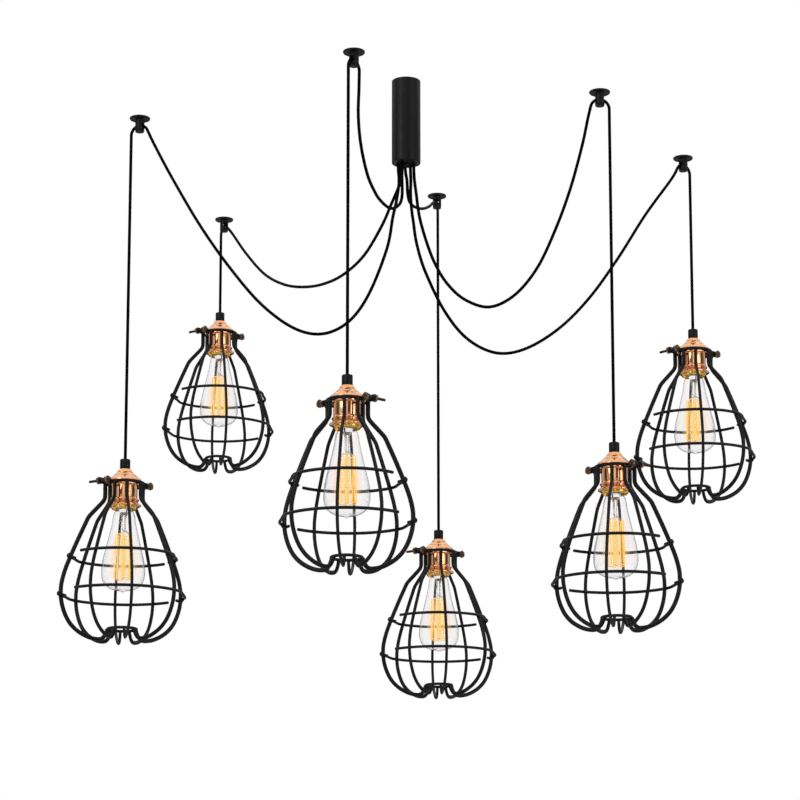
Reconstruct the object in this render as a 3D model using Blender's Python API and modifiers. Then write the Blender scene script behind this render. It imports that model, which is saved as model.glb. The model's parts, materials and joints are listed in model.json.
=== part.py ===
# A ceiling light with six caged lampholders on black cords that sag from one tall canopy to ceiling hooks.
# Metres, +Z up. The origin is the middle of the canopy where it meets the ceiling, and all hangs below z = 0.
# The photographed side faces -Y.
import math

import bmesh
import bpy
from mathutils import Matrix, Vector

# Gaps, and how far cutters run over and welded wires sink into each other
seat_gap = 0.0003
bolt_clearance = 0.0004
overrun = 0.002
weld_bite = 0.0008

# Canopy
canopy_radius = 0.0207
canopy_height = 0.124
canopy_wall = 0.0014
canopy_edge = 0.0015
bracket_width = 0.014
bracket_thickness = 0.003
stud_radius = 0.0020
nut_radius = 0.0042
nut_height = 0.0045
nut_dome_height = 0.0016
nut_face_radius = 0.0025
block_radius = 0.0155
block_height = 0.018
block_drop = 0.030

# Cords
cord_radius = 0.0023
cord_step = 0.0138
cord_hole_clearance = 0.0006
cord_ring_radius = 0.0116
cord_turn = 0.014

# Ceiling hooks
hook_plate_radius = 0.0155
hook_plate_thickness = 0.0032
hook_plate_edge = 0.0010
hook_stem_radius = 0.0070
hook_length = 0.0227
hook_tip_radius = 0.0052
hook_tip_height = 0.0014
hook_hole_drop = 0.0122
hook_hole_radius = 0.0031
hook_hole_flare = 0.0024

# Cord grip
grip_radius = 0.0076
grip_height = 0.0150
grip_chamfer = 0.0014
grip_mouth_radius = 0.0050
grip_pivot_depth = 0.0020

# Lampholder
cap_radius = 0.0240
cap_height = 0.0155
cap_rim_height = 0.0055
cap_rim_depth = 0.0035
body_radius = 0.0190
rib_radius = 0.0212
rib_drop = 0.0270
rib_height = 0.0040
flange_radius = 0.0245
flange_drop = 0.0330
flange_edge = 0.0016
mouth_radius = 0.0180
mouth_drop = 0.0395
mouth_depth = 0.0100

# Bulb
bulb_cap_radius = 0.0130
bulb_cap_length = 0.0260
socket_clearance = 0.0011
bulb_radius = 0.0320
bulb_length = 0.1460
bulb_contact_radius = 0.0078
bulb_contact_height = 0.0039
bulb_tip_radius = 0.0030
bulb_tip_length = 0.0035

# Cage; its uprights are oval, deeper than they are wide
wire_radius = 0.0022
upright_depth = 0.0064
upright_width = 0.0044
collar_wire_radius = 0.0022
collar_clearance = 0.0006
cage_radius = 0.0915
cage_drop = 0.232
upper_band_drop = 0.110
lower_band_drop = 0.166
band_tail = 0.0260
wires_per_band = 4
band_hook_drop = 0.0022
foot_ring_radius = 0.0210
foot_ring_drop = 0.2165
foot_ring_sides = 8
split_angle = math.radians(150)
split_gap = 0.0070
collar_steps = 7
ear_skew_angle = math.radians(-20)
ear_reach = 0.0165
ear_hole_reach = 0.0115
ear_thickness = 0.0026
ear_height = 0.0090
bolt_radius = 0.0020
bolt_length = 0.0330
bolt_head_radius = 0.0056
bolt_head_height = 0.0036
bolt_nut_radius = 0.0052
bolt_nut_height = 0.0040

# The hand-bent uprights' places round the cage, in degrees; each band goes round four of them
wire_angles = (121, 82, 35, -19, -60, -97, -140, -184)

# Each wire's way down, as shares of the cage's radius and drop, from under the collar to the foot ring
wire_out_shares = (0.568, 0.840, 0.990, 0.985, 0.850, 0.630, 0.430, 0.290)
wire_down_shares = (0.224, 0.474, 0.655, 0.765, 0.900, 0.973, 1.000, 0.993)
neck_share = 0.103

# The lampholder's stepped cap from its top to its rim, as shares of its radius and of its height over the rim
cap_out_shares = (0.40, 0.49, 0.54, 0.74, 0.78, 1.00)
cap_up_shares = (1.00, 0.72, 0.66, 0.36, 0.31, 0)

# The hooked end of a band: away from the axis, past the wire it hooks round, and down
hook_away_shares = (1.0, 0.5, -0.8, -2.2)
hook_past_shares = (0, 1.1, 0.9, -0.3)
hook_down_shares = (0, 0.5, 1.0, 1.0)

# The bulb's glass from its neck to its tip, as shares of its radius and of its length under the screw cap
glass_out_shares = (0.50, 0.55, 0.93, 1.00, 0.90, 0.50)
glass_down_shares = (0.06, 0.20, 0.60, 0.77, 0.90, 0.98)

# Where the hooks are screwed to the ceiling, and how far under it each cage's collar hangs
hook_places = ((-0.401, 0.151), (-0.310, 0.646), (-0.073, -0.116), (0.051, 0.520), (0.283, 0.042), (0.437, 0.333))
collar_drops = (0.561, 0.198, 0.505, 0.597, 0.561, 0.314)

# Where each cord goes through the canopy's floor, as degrees round its axis
canopy_hole_angles = (172, 134, -120, 96, 18, 58)

# Cages three and five are mirror images of the others
cage_sides = (1, 1, -1, 1, -1, 1)

# How far each cage is turned round its lampholder, in degrees, so that all face the photographed side alike
cage_turns = (6.7, 4.5, 1.3, -0.9, -5.3, -7.2)

# How steeply each cord comes up to its hook, and the turn between two points of its bend, in degrees
hook_approach_angles = (58, 40, 80, 20, 72, 52)
bend_step_angle = 19

# The rounded ends of a hanging cord: how far past its end, and how wide
cord_end_past_shares = (1.0, 0.0)
cord_end_width_shares = (0.35, 1.0)

# Corners on one turn of each kind of round piece
canopy_steps = 16
holder_steps = 10
small_steps = 10
hole_sides = 8

# Each cord's route from the canopy to its hook: distance out from the canopy's axis, and height
swag_routes = (
    ((0.0110, -0.150), (0.0145, -0.176), (0.0205, -0.202), (0.0300, -0.249), (0.0583, -0.314), (0.090, -0.351),
     (0.130, -0.364), (0.174, -0.351), (0.225, -0.311), (0.275, -0.252), (0.3245, -0.182), (0.371, -0.1045),
     (0.402, -0.048)),
    ((0.0140, -0.140), (0.0270, -0.153), (0.050, -0.170), (0.0835, -0.194), (0.144, -0.221), (0.217, -0.2305),
     (0.291, -0.226), (0.370, -0.2105), (0.451, -0.185), (0.533, -0.146), (0.613, -0.090), (0.680, -0.035)),
    ((0.0112, -0.148), (0.0106, -0.172), (0.0149, -0.186), (0.0251, -0.1955), (0.0362, -0.201), (0.046, -0.2025),
     (0.0562, -0.2015), (0.0708, -0.197), (0.0823, -0.190), (0.1017, -0.170), (0.1185, -0.132), (0.1255, -0.091),
     (0.1240, -0.050)),
    ((0.0120, -0.145), (0.0190, -0.159), (0.038, -0.1655), (0.070, -0.161), (0.1175, -0.150), (0.206, -0.1245),
     (0.291, -0.097), (0.383, -0.0635), (0.450, -0.036)),
    ((0.0120, -0.148), (0.0147, -0.169), (0.0172, -0.190), (0.0209, -0.210), (0.0304, -0.2425), (0.0425, -0.273),
     (0.060, -0.301), (0.0855, -0.323), (0.1205, -0.332), (0.157, -0.313), (0.190, -0.272), (0.2165, -0.216),
     (0.240, -0.152), (0.2585, -0.0855), (0.2680, -0.042)),
    ((0.0085, -0.150), (0.0080, -0.168), (0.0100, -0.192), (0.0129, -0.2085), (0.0190, -0.240), (0.0346, -0.279),
     (0.0697, -0.3315), (0.112, -0.366), (0.166, -0.378), (0.223, -0.362), (0.289, -0.3195), (0.3495, -0.262),
     (0.4085, -0.1895), (0.466, -0.1105), (0.523, -0.041)),
)

black = ("black_metal", (0.018, 0.018, 0.019), 0.55, 0.6)
cord_black = ("black_cord", (0.012, 0.012, 0.013), 0.75, 0.0)
copper = ("satin_copper", (0.80, 0.43, 0.27), 0.30, 1.0)
glass = ("amber_glass", (0.95, 0.80, 0.55), 0.05, 0.0)
bronze = ("dark_bronze", (0.065, 0.038, 0.026), 0.45, 0.8)
steel = ("zinc_steel", (0.55, 0.55, 0.54), 0.35, 1.0)
block_white = ("block_ceramic", (0.80, 0.79, 0.76), 0.50, 0.0)


def clear_scene():
    for item in list(bpy.data.objects):
        bpy.data.objects.remove(item, do_unlink=True)


def part_collection():
    group = bpy.data.collections.new("pendant_light")
    bpy.context.scene.collection.children.link(group)
    return group


def finish_material(name, finish):
    label, colour, roughness, metallic = finish
    material = bpy.data.materials.new(f"{name}_{label}")
    material.use_nodes = True
    shader = material.node_tree.nodes["Principled BSDF"]
    shader.inputs["Base Color"].default_value = (*colour, 1.0)
    shader.inputs["Roughness"].default_value = roughness
    shader.inputs["Metallic"].default_value = metallic
    return material


def add_object(name, data, group, finish=None, place=(0, 0, 0), turn=0.0):
    item = bpy.data.objects.new(name, data)
    item.location = place
    item.rotation_euler = (0, 0, turn)
    group.objects.link(item)
    if finish:
        material = finish_material(name, finish)
        if data.materials:
            item.material_slots[0].link = "OBJECT"
            item.material_slots[0].material = material
        else:
            data.materials.append(material)
            item.material_slots[0].link = "OBJECT"
            item.material_slots[0].material = material
    return item


def baked_mesh(item, weld=1e-6):
    """The item's evaluated mesh in world space, with its loose caps welded; the item is removed."""
    graph = bpy.context.evaluated_depsgraph_get()
    mesh = bpy.data.meshes.new_from_object(item.evaluated_get(graph))
    mesh.transform(item.matrix_world)
    work = bmesh.new()
    work.from_mesh(mesh)
    bmesh.ops.remove_doubles(work, verts=work.verts, dist=weld)
    bmesh.ops.recalc_face_normals(work, faces=work.faces)
    work.to_mesh(mesh)
    work.free()
    bpy.data.objects.remove(item, do_unlink=True)
    return mesh


def smooth(mesh, degrees=40):
    mesh.shade_smooth()
    mesh.set_sharp_from_angle(angle=math.radians(degrees))
    return mesh


def tube_mesh(points, radius, level, closed=False, widths=None):
    curve = bpy.data.curves.new("tube", "CURVE")
    curve.dimensions = "3D"
    curve.bevel_depth = radius
    curve.bevel_resolution = level
    curve.use_fill_caps = not closed
    curve.twist_mode = "Z_UP" if closed else "MINIMUM"
    line = curve.splines.new("POLY")
    line.points.add(len(points) - 1)
    for index, point in enumerate(points):
        line.points[index].co = (*point, 1.0)
        line.points[index].radius = widths[index] if widths else 1.0
    line.use_cyclic_u = closed
    item = bpy.data.objects.new("tube", curve)
    bpy.context.scene.collection.objects.link(item)
    bpy.context.view_layer.update()
    mesh = baked_mesh(item)
    bpy.data.curves.remove(curve)
    return mesh


def turned_mesh(profile, steps):
    """A closed profile of (radius, height) turned about Z; it runs down its outer side."""
    work = bmesh.new()
    corners = [work.verts.new((out, 0, height)) for out, height in profile]
    for first, second in zip(corners, corners[1:]):
        work.edges.new((first, second))
    if profile[0][0] > 0:
        work.edges.new((corners[-1], corners[0]))
    mesh = bpy.data.meshes.new("turned")
    work.to_mesh(mesh)
    work.free()
    item = bpy.data.objects.new("turned", mesh)
    bpy.context.scene.collection.objects.link(item)
    screw = item.modifiers.new("turn", "SCREW")
    screw.steps = steps
    screw.render_steps = steps
    screw.use_merge_vertices = True
    screw.merge_threshold = 1e-6
    bpy.context.view_layer.update()
    return baked_mesh(item)


def box_mesh(low, high, matrix=Matrix()):
    work = bmesh.new()
    size = Vector(high) - Vector(low)
    middle = (Vector(high) + Vector(low)) / 2
    bmesh.ops.create_cube(work, size=1.0, matrix=matrix @ Matrix.Translation(middle) @ Matrix.Diagonal((*size, 1)))
    mesh = bpy.data.meshes.new("box")
    work.to_mesh(mesh)
    work.free()
    return mesh


def rod_mesh(radius, bottom, top, sides, matrix=Matrix(), top_radius=None):
    """A round or hexagonal rod along the matrix's Z, from bottom to top."""
    work = bmesh.new()
    upper = radius if top_radius is None else top_radius
    lift = Matrix.Translation((0, 0, (bottom + top) / 2))
    bmesh.ops.create_cone(work, cap_ends=True, segments=sides, radius1=radius, radius2=upper,
                          depth=top - bottom, matrix=matrix @ lift)
    mesh = bpy.data.meshes.new("rod")
    work.to_mesh(mesh)
    work.free()
    return mesh


def combined(base, others, operation):
    """The base mesh joined with, or cut by, all the others at once."""
    tools = bpy.data.collections.new("cutters")
    bpy.context.scene.collection.children.link(tools)
    for mesh in others:
        cutter = bpy.data.objects.new("cutter", mesh)
        cutter.hide_render = True
        cutter.display_type = "WIRE"
        tools.objects.link(cutter)
    item = bpy.data.objects.new("base", base)
    bpy.context.scene.collection.objects.link(item)
    step = item.modifiers.new(operation.lower(), "BOOLEAN")
    step.operation = operation
    step.solver = "EXACT"
    step.operand_type = "COLLECTION"
    step.collection = tools
    bpy.context.view_layer.update()
    mesh = baked_mesh(item)
    for cutter in list(tools.objects):
        bpy.data.objects.remove(cutter, do_unlink=True)
    bpy.data.collections.remove(tools)
    return mesh


def smooth_points(route, step):
    """Points about one step apart on a smooth curve through the route's points."""
    ends = [route[0] * 2 - route[1], *route, route[-1] * 2 - route[-2]]
    fine = []
    for before, start, end, after in zip(ends, ends[1:], ends[2:], ends[3:]):
        pieces = max(1, round((end - start).length / step))
        for index in range(pieces):
            t = index / pieces
            fine.append(0.5 * (2 * start + (end - before) * t + (2 * before - 5 * start + 4 * end - after) * t * t
                               + (3 * start - before - 3 * end + after) * t ** 3))
    fine.append(route[-1])
    return fine


def spaced_points(points, step):
    """Points the same distance apart along a line of points, at most one step from each other."""
    marks = [0]
    for before, after in zip(points, points[1:]):
        marks.append(marks[-1] + (after - before).length)
    count = math.ceil(marks[-1] / step)
    spaced = []
    for index in range(count):
        away = marks[-1] * index / count
        place = next(spot for spot in range(1, len(marks)) if marks[spot] > away)
        share = (away - marks[place - 1]) / (marks[place] - marks[place - 1])
        spaced.append(points[place - 1].lerp(points[place], share))
    return spaced


def hook_reach(place):
    return math.hypot(*place)


def outward(place):
    reach = hook_reach(place)
    return Vector((place[0] / reach, place[1] / reach, 0))


def swing_height():
    """The height of the point under each hook about which its hanging cord swings."""
    return -hook_hole_drop - cord_turn - cord_radius - seat_gap


def swing_point(place):
    return outward(place) * (hook_reach(place) + cord_turn) + Vector((0, 0, swing_height()))


def cap_top():
    return cap_rim_height + cap_height


def sway_height(drop):
    """The height of the point in the cord grip about which the lampholder tilts."""
    return -drop + cap_top() + seat_gap + grip_height - grip_pivot_depth


def cord_hole(angle):
    turn = math.radians(angle)
    return Vector((math.cos(turn), math.sin(turn), 0)) * cord_ring_radius


def canopy_cup():
    bottom = -canopy_height
    profile = (
        (canopy_radius - canopy_wall, -seat_gap),
        (canopy_radius, -seat_gap),
        (canopy_radius, bottom + canopy_edge),
        (canopy_radius - canopy_edge, bottom),
        (stud_radius + seat_gap, bottom),
        (stud_radius + seat_gap, bottom + canopy_wall),
        (canopy_radius - canopy_wall, bottom + canopy_wall),
    )
    holes = []
    for angle in canopy_hole_angles:
        holes.append(rod_mesh(cord_radius + cord_hole_clearance, bottom - overrun, bottom + canopy_wall + overrun,
                              hole_sides, Matrix.Translation(cord_hole(angle))))
    return smooth(combined(turned_mesh(profile, canopy_steps), holes, "DIFFERENCE"))


def ceiling_bracket():
    length = canopy_radius - canopy_wall - seat_gap - overrun
    bar = box_mesh((-length, -bracket_width / 2, -bracket_thickness), (length, bracket_width / 2, 0))
    stud = rod_mesh(stud_radius, -canopy_height - nut_height, -bracket_thickness + weld_bite, small_steps)
    return smooth(combined(bar, [stud], "UNION"))


def canopy_nut():
    top = -canopy_height - seat_gap
    bottom = top - nut_height
    profile = (
        (stud_radius + seat_gap, top),
        (nut_radius, top),
        (nut_radius, bottom + nut_dome_height),
        (nut_face_radius, bottom),
        (0, bottom - nut_dome_height),
        (0, bottom),
        (stud_radius + seat_gap, bottom),
    )
    return smooth(turned_mesh(profile, small_steps))


def terminal_block():
    top = -block_drop
    inner = stud_radius + seat_gap
    profile = ((inner, top), (block_radius, top), (block_radius, top - block_height), (inner, top - block_height))
    return smooth(turned_mesh(profile, canopy_steps))


def ceiling_hook():
    """A round plate with a stem and a flared hole across the stem, along X."""
    profile = (
        (0, 0),
        (hook_plate_radius - hook_plate_edge, 0),
        (hook_plate_radius, -hook_plate_edge),
        (hook_plate_radius - hook_plate_edge, -hook_plate_thickness),
        (hook_stem_radius, -hook_plate_thickness),
        (hook_stem_radius, hook_tip_height - hook_length),
        (hook_tip_radius, -hook_length),
        (0, -hook_length),
    )
    flares = []
    for end in (-1, 1):
        facing = Matrix.Translation((0, 0, -hook_hole_drop)) @ Matrix.Rotation(end * math.pi / 2, 4, "Y")
        flares.append(rod_mesh(hook_hole_radius, -weld_bite, hook_stem_radius + overrun, hole_sides, facing,
                               hook_hole_radius + hook_hole_flare * (1 + overrun / hook_stem_radius)))
    return smooth(combined(turned_mesh(profile, small_steps), flares, "DIFFERENCE"))


def cord_grip():
    """Origin at the point where the hanging cord ends, about which the lampholder tilts."""
    top = grip_pivot_depth
    bottom = top - grip_height
    bore = cord_radius + seat_gap
    profile = (
        (grip_mouth_radius, top),
        (grip_radius - grip_chamfer, top),
        (grip_radius, top - grip_chamfer),
        (grip_radius, bottom),
        (0, bottom),
        (0, -bore),
        (bore, -bore),
        (bore, 0),
    )
    return smooth(turned_mesh(profile, small_steps))


def lamp_holder():
    """Origin in the plane of the cage's collar, on the axis; its socket opens downwards."""
    screw_top = -(mouth_drop - bulb_cap_length) + seat_gap
    socket = bulb_cap_radius + socket_clearance
    cap = [(0, cap_top())]
    for out, up in zip(cap_out_shares, cap_up_shares):
        cap.append((cap_radius * out, cap_rim_height + cap_height * up))
    profile = (
        *cap,
        (cap_radius, -cap_rim_depth),
        (body_radius, -cap_rim_depth),
        (body_radius, -rib_drop + rib_height),
        (rib_radius, -rib_drop + rib_height / 2),
        (body_radius, -rib_drop),
        (flange_radius, -flange_drop),
        (flange_radius, -flange_drop - flange_edge),
        (mouth_radius, -mouth_drop),
        (mouth_radius, -mouth_drop + mouth_depth),
        (socket, -mouth_drop + mouth_depth),
        (socket, screw_top),
        (0, screw_top),
    )
    return smooth(turned_mesh(profile, holder_steps))


def bulb():
    """Origin in the plane of the cage's collar; its screw cap fills the lampholder's socket."""
    top = -(mouth_drop - bulb_cap_length)
    neck = top - bulb_cap_length
    glass_length = bulb_length - bulb_cap_length
    profile = [(0, top), (bulb_contact_radius, top), (bulb_cap_radius, top - bulb_contact_height),
               (bulb_cap_radius, neck)]
    for out, down in zip(glass_out_shares, glass_down_shares):
        profile.append((bulb_radius * out, neck - glass_length * down))
    profile.append((bulb_tip_radius, neck - glass_length))
    profile.append((0, neck - glass_length - bulb_tip_length))
    return smooth(turned_mesh(profile, small_steps), 60)


def around(angle):
    """The level direction at an angle counted from +X towards the front."""
    return Vector((math.cos(angle), -math.sin(angle), 0))


def along(angle):
    """The level direction in which that angle grows."""
    return Vector((-math.sin(angle), -math.cos(angle), 0))


def collar_radius():
    """The middle of the collar's wire, wide enough for the flats between its corners to clear the cap."""
    return (cap_radius + collar_clearance + collar_wire_radius) / math.cos(math.pi / 2 / collar_steps)


def cage_wire(angle):
    """From the collar down round the bulb, and up again at the foot to the ring."""
    neck = collar_radius() - collar_wire_radius + upright_depth / 2
    outline = [(neck, 0), (neck, -cage_drop * neck_share)]
    for out, down in zip(wire_out_shares, wire_down_shares):
        outline.append((cage_radius * out, -cage_drop * down))
    outline.append((foot_ring_radius, -foot_ring_drop))
    wire = tube_mesh([Vector((out, 0, height)) for out, height in outline], upright_depth / 2, 0)
    narrow = Matrix.Diagonal((1, upright_width / upright_depth, 1, 1))
    wire.transform(Matrix.Rotation(-angle, 4, "Z") @ narrow)
    return wire


def wire_out_at(drop):
    """How far out a cage wire lies at a drop under the collar."""
    downs = [cage_drop * share for share in wire_down_shares]
    outs = [cage_radius * share for share in wire_out_shares]
    for low, high, first, second in zip(downs, downs[1:], outs, outs[1:]):
        if low <= drop <= high:
            return first + (second - first) * (drop - low) / (high - low)
    return outs[-1]


def band(drop, half):
    """A wire round the outside of four uprights; one end runs free and the other hooks round the last of them."""
    seat = wire_out_at(drop)
    out = seat + upright_depth / 2 + wire_radius - weld_bite
    start = half * wires_per_band
    held = [math.radians(angle) for angle in wire_angles[start:start + wires_per_band]]
    angles = [held[0] + band_tail / out]
    for first, second in zip(held, held[1:]):
        angles.extend((first, (first + second) / 2))
    points = [around(angle) * out + Vector((0, 0, -drop)) for angle in angles]
    last = held[-1]
    round_pitch = upright_width / 2 + wire_radius - weld_bite / 2
    out_pitch = upright_depth / 2 + wire_radius - weld_bite
    for away, past, down in zip(hook_away_shares, hook_past_shares, hook_down_shares):
        spot = around(last) * (seat + away * out_pitch) - along(last) * past * round_pitch
        points.append(spot + Vector((0, 0, -drop - band_hook_drop * down)))
    return tube_mesh(points, wire_radius, 0)


def collar_half(half):
    """Half of the split collar; each end stops inside an ear."""
    turn = half * math.pi
    trim = (split_gap + ear_thickness) / 2 / collar_radius()
    start = split_angle + turn - trim
    sweep = math.pi - 2 * trim
    points = [around(start - sweep * index / collar_steps) * collar_radius() for index in range(collar_steps + 1)]
    return tube_mesh(points, collar_wire_radius, 0)


def split_frame(half):
    """Origin in a split of the collar, X along the bent ears, Y along the clamp bolt, Z up."""
    angle = split_angle + half * math.pi
    bent = angle + ear_skew_angle
    frame = Matrix((around(bent), -along(bent), (0, 0, 1))).transposed()
    return Matrix.Translation(around(angle) * collar_radius()) @ frame.to_4x4()


def collar_ears():
    """Each ear starts where the collar's end reaches it, which the bend puts at two different depths."""
    middle = (split_gap + ear_thickness) / 2
    ears = []
    for half in (0, 1):
        for end in (-1, 1):
            start = -end * middle * math.sin(ear_skew_angle) - collar_wire_radius / 2
            low = (start, end * middle - ear_thickness / 2, -ear_height / 2)
            high = (ear_reach, end * middle + ear_thickness / 2, ear_height / 2)
            ears.append(box_mesh(low, high, split_frame(half)))
    return ears


def bolt_holes():
    reach = split_gap / 2 + ear_thickness + overrun
    holes = []
    for half in (0, 1):
        seat = split_frame(half) @ Matrix.Translation((ear_hole_reach, 0, 0))
        across = seat @ Matrix.Rotation(math.pi / 2, 4, "X")
        holes.append(rod_mesh(bolt_radius + bolt_clearance, -reach, reach, 6, across))
    return holes


def cage():
    """Origin in the plane of the collar, on the axis."""
    pieces = [cage_wire(math.radians(angle)) for angle in wire_angles]
    for half in (0, 1):
        pieces.append(band(upper_band_drop, half))
        pieces.append(band(lower_band_drop, half))
        pieces.append(collar_half(half))
    pieces.extend(collar_ears())
    ring = []
    for index in range(foot_ring_sides):
        ring.append(around(math.tau * index / foot_ring_sides) * foot_ring_radius + Vector((0, 0, -foot_ring_drop)))
    whole = combined(tube_mesh(ring, wire_radius, 0, closed=True), pieces, "UNION")
    return smooth(combined(whole, bolt_holes(), "DIFFERENCE"))


def mirrored(mesh):
    copy = mesh.copy()
    copy.transform(Matrix.Diagonal((-1, 1, 1, 1)))
    copy.flip_normals()
    return copy


def clamp_bolt():
    """Hexagonal head, shank and nut in one, along Y; the head is on the +Y side of the collar's ears."""
    face = split_gap / 2 + ear_thickness + seat_gap
    across = Matrix.Rotation(math.pi / 2, 4, "X")
    head = rod_mesh(bolt_head_radius, -face - bolt_head_height, -face, 6, across)
    shank = rod_mesh(bolt_radius, -face - weld_bite, bolt_length - face, 6, across)
    nut = rod_mesh(bolt_nut_radius, face, face + bolt_nut_height, 6, across)
    return smooth(combined(head, [shank, nut], "UNION"))


def clamp_bolt_place(half, side, turn):
    """Where a clamp bolt crosses the ears, from the collar's middle, and its turn about Z; heads face the front."""
    frame = split_frame(half)
    spot = frame @ Vector((ear_hole_reach, 0, 0))
    head_way = frame.to_3x3() @ Vector((0, 1 - 2 * half, 0))
    turned = Matrix.Rotation(turn, 3, "Z")
    spot = turned @ Vector((side * spot.x, spot.y, 0))
    head_way = turned @ Vector((side * head_way.x, head_way.y, 0))
    return spot, math.atan2(-head_way.x, head_way.y)


def swag_cord(index):
    """From the terminal block through the canopy's floor, sagging to the hook and over its hole."""
    place = hook_places[index]
    out = outward(place)
    hole = cord_hole(canopy_hole_angles[index])
    start = -block_drop - block_height - seat_gap
    leave = -canopy_height - 2 * cord_radius
    route = [hole + Vector((0, 0, start)), hole + Vector((0, 0, (start + leave) / 2)), hole + Vector((0, 0, leave))]
    for away, height in swag_routes[index]:
        route.append(out * away + Vector((0, 0, height)))
    centre = out * hook_reach(place) + Vector((0, 0, -hook_hole_drop - cord_turn))
    bend = []
    first = hook_approach_angles[index]
    steps = round((first + 90) / bend_step_angle)
    for count in range(steps + 1):
        turn = math.radians(-first + (first + 90) * count / steps)
        bend.append(centre + out * cord_turn * math.sin(turn) + Vector((0, 0, cord_turn * math.cos(turn))))
    swag = smooth_points(route + bend[:1], cord_radius)
    return smooth(tube_mesh(spaced_points(swag, cord_step) + bend, cord_radius, 2), 60)


def drop_cord(length):
    """Origin at the swing point under the hook; both ends are rounded about the points they turn on."""
    top = [(0, 0, cord_radius * past) for past in cord_end_past_shares]
    bottom = [(0, 0, -length - cord_radius * past) for past in reversed(cord_end_past_shares)]
    widths = cord_end_width_shares + cord_end_width_shares[::-1]
    return smooth(tube_mesh(top + bottom, cord_radius, 2, widths=widths), 60)


def build():
    clear_scene()
    group = part_collection()
    add_object("canopy_cup", canopy_cup(), group, black)
    add_object("ceiling_bracket", ceiling_bracket(), group, steel)
    add_object("canopy_nut", canopy_nut(), group, black)
    add_object("terminal_block", terminal_block(), group, block_white)

    hook_mesh = ceiling_hook()
    grip_mesh = cord_grip()
    holder_mesh = lamp_holder()
    bulb_mesh = bulb()
    bolt_mesh = clamp_bolt()
    cage_mesh = cage()
    cage_meshes = {1: cage_mesh, -1: mirrored(cage_mesh)}

    for index, place in enumerate(hook_places):
        number = index + 1
        side = cage_sides[index]
        drop = collar_drops[index]
        facing = math.atan2(place[1], place[0])
        hanging = swing_point(place)
        pivot = Vector((hanging.x, hanging.y, sway_height(drop)))
        collar = Vector((hanging.x, hanging.y, -drop))
        add_object(f"ceiling_hook_{number}", hook_mesh, group, black, (*place, 0), facing)
        add_object(f"swag_cord_{number}", swag_cord(index), group, cord_black)
        add_object(f"drop_cord_{number}", drop_cord(hanging.z - pivot.z), group, cord_black, hanging)
        add_object(f"cord_grip_{number}", grip_mesh, group, black, pivot)
        add_object(f"lamp_holder_{number}", holder_mesh, group, copper, collar)
        add_object(f"bulb_{number}", bulb_mesh, group, glass, collar)
        cage_turn = math.radians(cage_turns[index])
        add_object(f"cage_{number}", cage_meshes[side], group, black, collar, cage_turn)
        for half in (0, 1):
            spot, bolt_turn = clamp_bolt_place(half, side, cage_turn)
            label = "left" if spot.x < 0 else "right"
            add_object(f"clamp_bolt_{label}_{number}", bolt_mesh, group, bronze, collar + spot, bolt_turn)


build()
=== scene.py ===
# Six-arm swag light with wire guards: the looks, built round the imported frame
import json
import math

import bmesh
import bpy
from mathutils import Matrix, Vector


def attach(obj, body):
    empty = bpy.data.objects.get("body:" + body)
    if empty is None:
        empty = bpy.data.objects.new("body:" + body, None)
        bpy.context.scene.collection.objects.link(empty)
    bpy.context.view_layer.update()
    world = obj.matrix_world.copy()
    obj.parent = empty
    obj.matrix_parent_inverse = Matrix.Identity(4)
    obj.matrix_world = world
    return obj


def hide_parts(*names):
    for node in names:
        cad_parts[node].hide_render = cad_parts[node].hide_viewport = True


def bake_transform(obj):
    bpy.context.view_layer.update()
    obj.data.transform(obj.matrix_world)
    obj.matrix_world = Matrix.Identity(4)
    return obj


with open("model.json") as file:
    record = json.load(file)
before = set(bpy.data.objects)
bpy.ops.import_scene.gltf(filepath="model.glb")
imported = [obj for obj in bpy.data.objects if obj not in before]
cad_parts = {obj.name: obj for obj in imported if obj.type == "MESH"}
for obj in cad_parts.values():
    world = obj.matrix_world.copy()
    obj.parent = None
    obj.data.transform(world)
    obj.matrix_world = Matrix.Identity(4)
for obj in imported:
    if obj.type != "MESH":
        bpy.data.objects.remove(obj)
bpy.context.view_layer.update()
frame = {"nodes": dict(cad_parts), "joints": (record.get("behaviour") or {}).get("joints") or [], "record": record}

jointSpots = {joint["name"]: Vector(joint["pos_m"]) for joint in frame["joints"]}
mountSpots = {mount["name"]: Vector(mount["pos_m"]) for mount in frame["record"]["mounts"]}
mm = 0.001
mergeWithin = 0.01 * mm
arms = (1, 2, 3, 4, 5, 6)
mirroredArms = (3, 5)


def deselectAll():
    if bpy.context.mode != "OBJECT":
        bpy.ops.object.mode_set(mode="OBJECT")
    bpy.ops.object.select_all(action="DESELECT")


def makeActive(obj):
    deselectAll()
    obj.select_set(True)
    bpy.context.view_layer.objects.active = obj
    return obj


def applyPlace(obj):
    makeActive(obj)
    bpy.ops.object.transform_apply(location=True, rotation=True, scale=True)
    return obj


def applyAll(obj):
    makeActive(obj)
    for modifier in list(obj.modifiers):
        bpy.ops.object.modifier_apply(modifier=modifier.name)
    return obj


def shadeSmooth(obj, degrees=35):
    makeActive(obj)
    bpy.ops.object.shade_smooth_by_angle(angle=math.radians(degrees))
    return obj


def joinPieces(pieces, name):
    deselectAll()
    for piece in pieces:
        piece.select_set(True)
    bpy.context.view_layer.objects.active = pieces[0]
    bpy.ops.object.join()
    pieces[0].name = name
    return pieces[0]


# Turns the faces outwards, where wanted after merging the points that lie together
def faceOutwards(obj, merge=False):
    makeActive(obj)
    bpy.ops.object.mode_set(mode="EDIT")
    bpy.ops.mesh.select_all(action="SELECT")
    if merge:
        bpy.ops.mesh.remove_doubles(threshold=mergeWithin)
    bpy.ops.mesh.normals_make_consistent(inside=False)
    bpy.ops.object.mode_set(mode="OBJECT")
    return obj


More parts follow.
